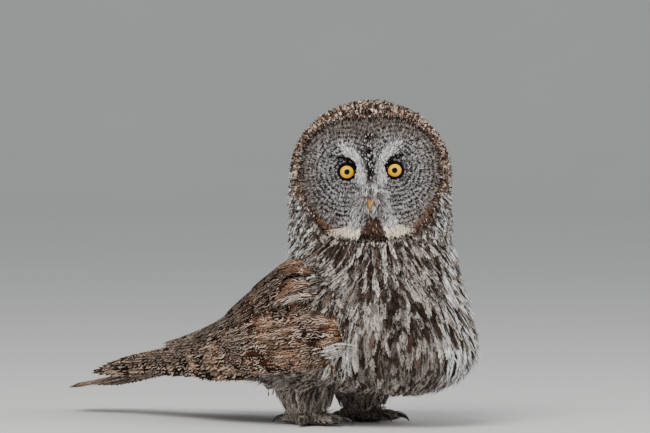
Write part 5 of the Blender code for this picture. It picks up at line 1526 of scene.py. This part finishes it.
# The folded wing's long feathers in tiers, each from the tier's upper end to its lower end:
# roots and tips as (millimetres behind the head's axis, degrees round the wing's sheet)
wingTiers = {
    "primaries": {"count": 8, "roots": ((118, 88), (96, 109)), "tips": ((296, 52), (388, 96)), "halfWidth": 11, "lift": -2.0, "tilt": 3.6, "tone": "long", "sink": 4},
    "secondaries": {"count": 10, "roots": ((66, 66), (60, 109)), "tips": ((256, 50), (186, 105)), "halfWidth": 13, "lift": 0.6, "tilt": 4.2, "tone": "long", "sink": 4},
    "tertials": {"count": 7, "roots": ((62, 54), (66, 70)), "tips": ((272, 31), (250, 53)), "halfWidth": 11.5, "lift": 3.0, "tilt": 3.8, "tone": "long", "sink": 4},
    "greaterCoverts": {"count": 12, "roots": ((6, 80), (0, 110)), "tips": ((136, 74), (104, 107)), "halfWidth": 8.5, "lift": 2.6, "tilt": 3.6, "tone": "covert", "sink": 4},
    "medianCoverts": {"count": 11, "roots": ((-24, 82), (-30, 109)), "tips": ((70, 79), (52, 106)), "halfWidth": 8.5, "lift": 4.4, "tilt": 3.4, "tone": "covert", "sink": 4},
    "lesserCoverts": {"count": 11, "roots": ((-42, 86), (-44, 111)), "tips": ((14, 83), (4, 108)), "halfWidth": 7.5, "lift": 5.4, "tilt": 2.6, "tone": "covert", "sink": 4},
    "longScapulars": {"count": 9, "roots": ((50, 38), (26, 66)), "tips": ((168, 35), (128, 67)), "halfWidth": 13, "lift": 6.4, "tilt": 4.0, "tone": "scapular", "sink": 8},
    "middleScapulars": {"count": 7, "roots": ((32, 44), (4, 70)), "tips": ((122, 34), (84, 70)), "halfWidth": 11, "lift": 8.0, "tilt": 3.6, "tone": "scapular", "sink": 10},
    "shortScapulars": {"count": 6, "roots": ((14, 54), (-16, 73)), "tips": ((70, 42), (40, 73)), "halfWidth": 9, "lift": 9.2, "tilt": 3.0, "tone": "scapular", "sink": 12},
}
# dark and light tone and bars per millimetre; the lowest scapulars are nearly white
wingTones = {
    "long": (paint(34, 19, 13), paint(190, 155, 128), 1 / 4.2),
    "covert": (paint(44, 25, 17), paint(172, 134, 108), 1 / 3.6),
    "scapular": (paint(34, 19, 13), paint(128, 97, 78), 1 / 3.6),
    "paleWeb": (paint(54, 34, 25), paint(190, 176, 164)),
}
vaneShape = {"columns": 26, "rootLift": 0.0, "tipLift": 0.0, "liftPower": 1.0, "camber": 0.10, "fray": 0.9, "roll": 0.0, "rootWidth": 0.5, "tipPower": 7, "liftSpread": 0.0, "fringe": 0.55}


def makeWing(side, name):
    paths, ups, widths, plans, darks, lights = [], [], [], [], [], []
    shares, lowest = np.linspace(0, 1, 9), []
    for tier in wingTiers.values():
        for k in range(tier["count"]):
            q = k / (tier["count"] - 1)
            root = [a + (b - a) * q for a, b in zip(*tier["roots"])]
            tip = [a + (b - a) * q for a, b in zip(*tier["tips"])]
            tip[0] += rng.uniform(-4, 4)
            tip[1] += rng.uniform(-1, 1)
            back = (root[0] + (tip[0] - root[0]) * shares) * mm
            angle = root[1] + (tip[1] - root[1]) * shares + 1.2 * np.sin(shares * np.pi) * rng.normal()
            # sunk at the root, and the tip settles on the feather under it
            settle = 1 - (0.75 if tier["tone"] == "scapular" else 0.5) * smooth(0.7, 1.0, shares) * (tier["lift"] > 0)
            lift = (tier["lift"] * settle - tier["sink"] * np.maximum(0, 1 - shares * 3) + rng.uniform(-0.3, 0.3)) * mm
            points, normals = wingSheet(back, angle, lift, side)
            # the feather's upper edge dips under the one above it
            below, _ = wingSheet(back, angle + 1, lift, side)
            round_ = unit(below - points)
            tilt = tier["tilt"] / tier["halfWidth"] / 2
            paths.append(points)
            ups.append(unit(normals - round_ * tilt))
            widths.append(tier["halfWidth"] * mm * rng.uniform(0.92, 1.08))
            dark, light, bars = wingTones[tier["tone"]]
            darks.append(dark * rng.uniform(0.6, 1.5))
            lights.append(light * rng.uniform(0.5, 1.25))
            reach = np.linalg.norm(points[-1] - points[0]) / mm
            plans.append((0.0, reach * bars * rng.uniform(0.9, 1.1), 0.6 if tier["tone"] == "scapular" else 0.95))
            lowest.append(tier["count"] - k if tier["tone"] == "scapular" else 9)
    piece = plumes(name, np.array(paths), np.array(ups), np.array(widths), vaneShape, (np.array(darks), np.array(lights), np.array(plans)), None, wingMaterial, atlas=9)
    # the lowest scapulars are pale: whole feathers in front, only the lower edge further back
    perPlume = len(piece.data.vertices) // len(paths)
    vane = np.empty(len(piece.data.vertices) * 3, np.float32)
    piece.data.attributes["vane"].data.foreach_get("vector", vane)
    spots = np.empty(len(piece.data.vertices) * 3)
    piece.data.vertices.foreach_get("co", spots)
    edge = np.interp(spots[1::3] - headY, np.array((0, 50, 95, 140)) * mm, (-1.2, -0.5, 0.55, 0.95)) + 1.7 * (np.repeat(lowest, perPlume) - 1)
    lower = vane[0::3] * -side > edge
    for label, tone in (("darkTone", 0), ("lightTone", 1)):
        colours = np.empty(len(lower) * 4, np.float32)
        piece.data.attributes[label].data.foreach_get("color", colours)
        colours = colours.reshape(-1, 4)
        colours[lower, :3] = wingTones["paleWeb"][tone]
        piece.data.attributes[label].data.foreach_set("color", colours.ravel())
    plan = np.empty(len(piece.data.vertices) * 3, np.float32)
    piece.data.attributes["plan"].data.foreach_get("vector", plan)
    plan[0::3][lower] = 0.26
    piece.data.attributes["plan"].data.foreach_set("vector", plan)
    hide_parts(name.replace("Feathers", "").replace("Left", "_left").replace("Right", "_right"))
    thick = piece.modifiers.new("thickness", "SOLIDIFY")
    thick.thickness, thick.offset = 0.4 * mm, 0
    print(name, len(paths), "plumes")
    return piece


print("wings and tail")
makeWing(1, "wingLeftFeathers")
makeWing(-1, "wingRightFeathers")

tailLook = {"count": 12, "root": (262, 62), "tip": (430, 34), "spread": 6.5, "halfWidth": 14.5}


def makeTail(settings):
    paths, ups, widths, plans, darks, lights = [], [], [], [], [], []
    outer = (settings["count"] - 1) / 2
    for k in range(settings["count"]):
        rank = k - outer
        share, side = abs(rank) / outer, math.copysign(1, rank)
        angle = math.radians(settings["spread"] * rank / outer)
        length = (settings["tip"][0] - settings["root"][0]) * (1 - 0.10 * share**2) - 6
        t = np.linspace(0, 1, 9)
        back = settings["root"][0] + 8 + length * t
        height = settings["root"][1] + (settings["tip"][1] - settings["root"][1]) * (back - settings["root"][0]) / 168 - (0.9 + 6.2 * share) * (0.4 + 0.6 * t)
        x = (3 + 10 * share) * side + math.tan(angle) * length * t
        paths.append(inBird(x * mm, back * mm, height * mm))
        ups.append(np.tile(unit(np.array([0.13 * side, 0, 1.0])), (9, 1)))
        widths.append(settings["halfWidth"] * mm)
        plans.append((0.0, 26, 0.9))
        darks.append(paint(50, 32, 24) * rng.uniform(0.8, 1.2))
        lights.append(paint(196, 160, 134) * rng.uniform(0.8, 1.2))
    shape = dict(vaneShape, rootWidth=0.6, tipPower=9)
    piece = plumes("tailFeathers", np.array(paths), np.array(ups), np.array(widths), shape, (np.array(darks), np.array(lights), np.array(plans)), None, wingMaterial, atlas=4)
    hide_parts("tail")
    thick = piece.modifiers.new("thickness", "SOLIDIFY")
    thick.thickness, thick.offset = 0.5 * mm, 0
    return piece


makeTail(tailLook)


# Eyes, lids, bill and claws
def gridPiece(name, rows, material, closed=True, ends=(True, True)):
    # a surface through rings of points, closed round, with its ends filled
    count = len(rows[0])
    vertices = np.concatenate(rows)
    faces = []
    for i in range(len(rows) - 1):
        a = i * count + np.arange(count if closed else count - 1)
        b = i * count + (np.arange(count if closed else count - 1) + 1) % count
        faces += np.stack([a, b, b + count, a + count], axis=1).tolist()
    if ends[0]:
        faces.append(list(range(count))[::-1])
    if ends[1]:
        faces.append(list(range(len(vertices) - count, len(vertices))))
    return newPiece(name, vertices, faces, material)


eyeLook = {"radius": 11 * mm, "depth": 60.5 * mm, "pupil": 3.15 * mm, "iris": 7.7 * mm, "cornea": 0.8 * mm}


def makeEyeMaterial():
    material, tree, shader = newMaterial("eyeball", 0.35, Coat_Weight=0.12, Coat_Roughness=0.04, Specular_IOR_Level=0.1)
    place = put(tree, "SeparateXYZ", None, Vector=field(tree, "iris")).outputs
    away = place[2]
    angle = calc(tree, "ARCTAN2", place[0], place[1])
    rays = noise(tree, put(tree, "CombineXYZ", None, X=calc(tree, "MULTIPLY", calc(tree, "SINE", angle), 3.0), Y=calc(tree, "MULTIPLY", calc(tree, "COSINE", angle), 3.0), Z=calc(tree, "MULTIPLY", away, 90.0)).outputs[0], 4.5, 3.0)
    inner = mixColour(tree, ramp(tree, away, 3.0 * mm, 7.4 * mm), (*paint(255, 204, 38), 1), (*paint(253, 180, 32), 1))
    inner = mixColour(tree, ramp(tree, rays, 0.35, 0.75, 0.0, 0.4), inner, (*paint(226, 132, 20), 1))
    edge = mixColour(tree, ramp(tree, away, 7.3 * mm, 7.9 * mm), inner, (*paint(92, 52, 16), 1))
    ball = mixColour(tree, ramp(tree, away, 7.9 * mm, 8.3 * mm), edge, (*paint(14, 12, 11), 1))
    colour = mixColour(tree, ramp(tree, away, eyeLook["pupil"] - 0.1 * mm, eyeLook["pupil"] + 0.15 * mm), (0.003, 0.003, 0.004, 1), ball)
    tree.links.new(colour, shader.inputs["Base Color"])
    return material


def makeEye(side, name, material):
    centre = np.array([side * discForm["eyeSpacing"] / 2, -eyeLook["depth"], discForm["eyeLevel"]])
    turn = np.linspace(0, 2 * np.pi, 72, endpoint=False)
    rows, places = [], []
    for tilt in np.concatenate([np.linspace(0.6, 48, 34), np.linspace(53, 150, 16)]):
        a = math.radians(tilt)
        away = eyeLook["radius"] * math.sin(a)
        bulge = eyeLook["cornea"] * max(0.0, 1 - (away / (7.4 * mm)) ** 2) if tilt < 90 else 0.0
        forward = eyeLook["radius"] * math.cos(a) + bulge * 0.9
        rows.append(fromFace(centre + np.stack([away * np.sin(turn), np.full(72, -forward), away * np.cos(turn)], axis=1)))
        reach = away if tilt < 90 else 20 * mm
        places.append(np.stack([away * np.sin(turn), away * np.cos(turn), np.full(72, reach)], axis=1))
    piece = gridPiece(name, rows, material)
    addPoints(piece, "iris", np.concatenate(places))
    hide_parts({1: "eye_left", -1: "eye_right"}[side])
    return piece


def makeLidMaterial():
    material, tree, shader = newMaterial("lidSkin", 0.8, Specular_IOR_Level=0.1)
    coordinates = put(tree, "TexCoord").outputs["Object"]
    grain = noise(tree, coordinates, 1800.0, 3.0)
    tree.links.new(mixColour(tree, grain, (*paint(5, 4, 4), 1), (*paint(16, 14, 13), 1)), shader.inputs["Base Color"])
    addBump(tree, shader, grain, 0.5, 0.3 * mm)
    return material


lidLook = {"radius": 7.5 * mm, "thickness": 1.1 * mm, "depth": 68.0 * mm}


def makeLid(side, name, material):
    centre = np.array([side * discForm["eyeSpacing"] / 2, -eyeLook["depth"], discForm["eyeLevel"]])
    turn = np.linspace(0, 2 * np.pi, 18, endpoint=False)
    rows = []
    for angle in np.linspace(0, 2 * np.pi, 90, endpoint=False):
        corner = math.exp(-((1 - math.cos(angle - math.radians(194))) / 0.06))
        heavy = 0.5 + 0.5 * math.cos(angle - math.radians(140))
        thick = lidLook["thickness"] * (0.62 + 0.32 * heavy + 0.05 * math.sin(angle * 23))
        # the opening is a little flatter than round, with a point at the inner corner
        opening = lidLook["radius"] + (1.0 * corner - 0.45 * math.sin(angle) ** 2 - 0.5 * heavy**2) * mm
        radius = opening + thick
        # a fine crease runs round the lid
        crease = 1 - 0.16 * np.exp(-(((np.degrees(turn) - 60) / 14) ** 2))
        outward = radius + thick * crease * np.cos(turn)
        forward = lidLook["depth"] - eyeLook["depth"] + thick * crease * np.sin(turn)
        ring = np.stack([side * outward * math.cos(angle), -forward, outward * math.sin(angle)], axis=1)
        # the lid lies on the eyeball
        clear = eyeLook["radius"] + 0.3 * mm
        ring[:, 1] = np.minimum(ring[:, 1], -np.sqrt(np.maximum(clear**2 - outward**2, 0)))
        rows.append(fromFace(centre + ring))
    rows.append(rows[0])
    piece = gridPiece(name, rows, material, ends=(False, False))
    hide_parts({1: "eyelid_left", -1: "eyelid_right"}[side])
    return piece


billLook = {
    "upper": (np.array([(66, 261), (80, 259.5), (89, 253), (92.5, 246), (91.5, 237.8)]) * mm, np.array([6.6, 6.0, 4.9, 3.7, 1.1]) * mm, np.array([6.0, 5.6, 4.6, 3.0, 0.7]) * mm),
    "lower": (np.array([(66, 249.5), (77, 246), (82, 242), (84.5, 238.5)]) * mm, np.array([5.0, 4.4, 3.2, 1.2]) * mm, np.array([3.0, 2.6, 1.9, 0.9]) * mm),
}


def makeBillMaterial():
    material, tree, shader = newMaterial("billHorn", 0.38, Coat_Weight=0.25, Coat_Roughness=0.25)
    coordinates = put(tree, "TexCoord").outputs["Object"]
    lines = noise(tree, put(tree, "Mapping", None, Vector=coordinates, Scale=(1.0, 1.0, 0.22)).outputs[0], 900.0, 3.0)
    vane = put(tree, "SeparateXYZ", None, Vector=field(tree, "vane")).outputs
    colour = mixColour(tree, ramp(tree, lines, 0.35, 0.7), (*paint(180, 136, 68), 1), (*paint(126, 88, 42), 1))
    # greener at the root, darker at the edges and pinker towards the tip
    colour = mixColour(tree, ramp(tree, vane[1], 0.66, 0.3, 0.0, 0.8), colour, (*paint(128, 110, 52), 1))
    colour = mixColour(tree, ramp(tree, vane[1], 0.62, 0.86, 0.0, 0.6), colour, (*paint(186, 136, 94), 1))
    colour = mixColour(tree, ramp(tree, calc(tree, "ABSOLUTE", vane[0]), 0.55, 0.95, 0.0, 0.6), colour, (*paint(70, 48, 26), 1))
    # the nostril pits painted dark: painted shade inside them
    colour = mixColour(tree, vane[2], colour, (*paint(28, 20, 14), 1))
    tree.links.new(colour, shader.inputs["Base Color"])
    addBump(tree, shader, lines, 0.25, 0.2 * mm)
    return material


def makeBill(name, part, node, material):
    line, halfWidths, halfDepths = billLook[part]
    steps, sides, last = 40, 32, len(line) - 1
    turn = np.linspace(0, 2 * np.pi, sides, endpoint=False)
    rows, marks = [], []
    for t in np.linspace(0, last, steps):
        here = between(line, t)
        ahead = unit(between(line, min(t + 0.05, last)) - between(line, max(t - 0.05, 0)))
        normal = np.array([ahead[1], -ahead[0]])
        width, depth = float(between(halfWidths, t)), float(between(halfDepths, t))
        c, s = np.cos(turn), np.sin(turn)
        # a ridge along the top and flatter cheeks, with a nostril pit on each side of the upper part
        across = width * np.sign(s) * np.abs(s) ** 0.9
        out = depth * c
        hole = np.zeros(sides)
        if part == "upper":
            hole = np.exp(-(((t - 1.25) / 0.22) ** 2)) * np.exp(-((np.abs(s) - 0.80) / 0.16) ** 2) * (c < 0)
            across = across * (1 - 0.32 * hole)
        # the bill hangs a little to one side of the face's middle, as in the photograph
        across = across - 2.0 * mm * t / last
        rows.append(fromFace(np.stack([across, -(here[0] + normal[0] * out), here[1] + normal[1] * out], axis=1)))
        marks.append(np.stack([s, np.full(sides, t / last), np.clip(hole * 1.6, 0, 1)], axis=1))
    piece = gridPiece(name, rows, material)
    addPoints(piece, "vane", np.concatenate(marks))
    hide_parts(node)
    return piece


def makeClawMaterial():
    material, tree, shader = newMaterial("clawHorn", 0.3, Coat_Weight=0.3, Coat_Roughness=0.2)
    coordinates = put(tree, "TexCoord").outputs["Object"]
    grain = noise(tree, coordinates, 700.0, 3.0)
    tree.links.new(mixColour(tree, grain, (*paint(22, 20, 20), 1), (*paint(58, 53, 50), 1)), shader.inputs["Base Color"])
    addBump(tree, shader, grain, 0.2, 0.2 * mm)
    return material


def makeClaw(side, degrees, length, name, node, material):
    ahead = toeLine(side, degrees)
    across = np.array([ahead[1], -ahead[0], 0])
    start = ankle(side) + ahead * (length - 5) * mm + np.array([0, 0, 8.2 * mm])
    bend, first = 12.5 * mm, math.radians(14)
    turn = np.linspace(0, 2 * np.pi, 20, endpoint=False)
    rows = []
    for share in np.linspace(0, 1, 22):
        arc = math.radians(-14 + 100 * share)
        middle = start + ahead * bend * 1.15 * (math.sin(arc) + math.sin(first))
        middle[2] += bend * (math.cos(arc) - math.cos(first)) * 0.62
        tangent = ahead * math.cos(arc) - np.array([0, 0, math.sin(arc)])
        normal = np.cross(tangent, across)
        radius = 2.8 * mm * float(np.interp(share, (0, 0.2, 0.4, 0.6, 0.8, 0.93, 1), (1, 1, 0.86, 0.66, 0.4, 0.2, 0.04)))
        groove = 1 - 0.18 * np.exp(-(((np.degrees(turn) - 180) / 22) ** 2))
        ring = middle + across * (radius * 0.8 * groove * np.sin(turn))[:, None] + normal * (radius * groove * np.cos(turn))[:, None]
        ring[:, 2] = np.maximum(ring[:, 2], 0.0)
        rows.append(ring)
    piece = gridPiece(name, rows, material)
    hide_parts(node)
    return piece


print("eyes, bill and claws")
eyeMaterial, lidMaterial, billMaterial, clawMaterial = makeEyeMaterial(), makeLidMaterial(), makeBillMaterial(), makeClawMaterial()
for side, word in ((1, "Left"), (-1, "Right")):
    makeEye(side, "eyeball" + word, eyeMaterial)
    makeLid(side, "lid" + word, lidMaterial)
    for toeName, degrees, length in legForm["toes"]:
        makeClaw(side, degrees, length, f"claw{toeName.capitalize()}{word}", f"claw_{toeName}_{word.lower()}", clawMaterial)
makeBill("billUpper", "upper", "bill_upper", billMaterial)
makeBill("billLower", "lower", "bill_lower", billMaterial)


# Floor, light and camera
studio = {"floorColour": paint(222, 220, 216), "worldColour": paint(205, 210, 214), "worldStrength": 0.72,
          "keyPower": 152, "fillPower": 50}


def makeFloor(settings):
    # flat for 12 m all round, then curved up like a sheet of studio paper
    turn = np.linspace(0, 2 * np.pi, 96, endpoint=False)
    rings = []
    for reach, rise in [(0.02, 0), (3, 0), (8, 0), (12, 0)] + [(12 + 4 * math.sin(a), 4 - 4 * math.cos(a)) for a in np.linspace(0.1, 1.35, 14)]:
        rings.append(np.stack([reach * np.cos(turn), reach * np.sin(turn), np.full(96, float(rise))], axis=1))
    shape = np.concatenate(rings)
    faces = [(i * 96 + k, i * 96 + (k + 1) % 96, (i + 1) * 96 + (k + 1) % 96, (i + 1) * 96 + k) for i in range(len(rings) - 1) for k in range(96)]
    faces.append(list(range(96))[::-1])
    floor = newPiece("floor", shape, faces, None)
    material, tree, shader = newMaterial("floorPaper", 0.9)
    grain = noise(tree, put(tree, "TexCoord").outputs["Object"], 3.0, 3.0)
    colour = settings["floorColour"]
    tree.links.new(mixColour(tree, grain, (*colour * 0.97, 1), (*np.clip(colour * 1.03, 0, 1), 1)), shader.inputs["Base Color"])
    floor.data.materials.append(material)


def addLight(name, place, target, size, power):
    lamp = bpy.data.lights.new(name, "AREA")
    lamp.shape, lamp.size, lamp.energy = "DISK", size, power
    made = bpy.data.objects.new(name, lamp)
    made.location = place
    made.rotation_euler = (Vector(target) - Vector(place)).to_track_quat("-Z", "Y").to_euler()
    bpy.context.scene.collection.objects.link(made)


makeFloor(studio)
addLight("key", (-2.6, -1.2, 3.0), (0, 0, 0.2), 2.6, studio["keyPower"])
addLight("fill", (0.6, -3.2, 1.6), (0, 0, 0.2), 2.4, studio["fillPower"])
world = bpy.data.worlds.new("studio")
bpy.context.scene.world = world
world.use_nodes = True
backdrop = world.node_tree.nodes["Background"]
backdrop.inputs["Color"].default_value = (*studio["worldColour"], 1)
backdrop.inputs["Strength"].default_value = studio["worldStrength"]

# The camera stands 6 m off, level with the photograph's, to the front and right of the bird
view = {"azimuth": -50, "elevation": 1.2, "distance": 6.0, "frameWidth": 0.717, "centreAcross": -50.2 * mm, "centreHeight": 230 * mm}
camera = bpy.data.objects.new("camera", bpy.data.cameras.new("camera"))
azimuth, elevation = math.radians(view["azimuth"]), math.radians(view["elevation"])
rightward = Vector((math.cos(azimuth), math.sin(azimuth), 0))
target = Vector((headX, headY, view["centreHeight"])) + rightward * view["centreAcross"]
backward = Vector((math.sin(azimuth) * math.cos(elevation), -math.cos(azimuth) * math.cos(elevation), math.sin(elevation)))
camera.location = target + backward * view["distance"]
camera.rotation_euler = (-backward).to_track_quat("-Z", "Y").to_euler()
camera.data.sensor_width = 36
camera.data.lens = 36 * view["distance"] / view["frameWidth"]
bpy.context.scene.collection.objects.link(camera)
bpy.context.scene.camera = camera
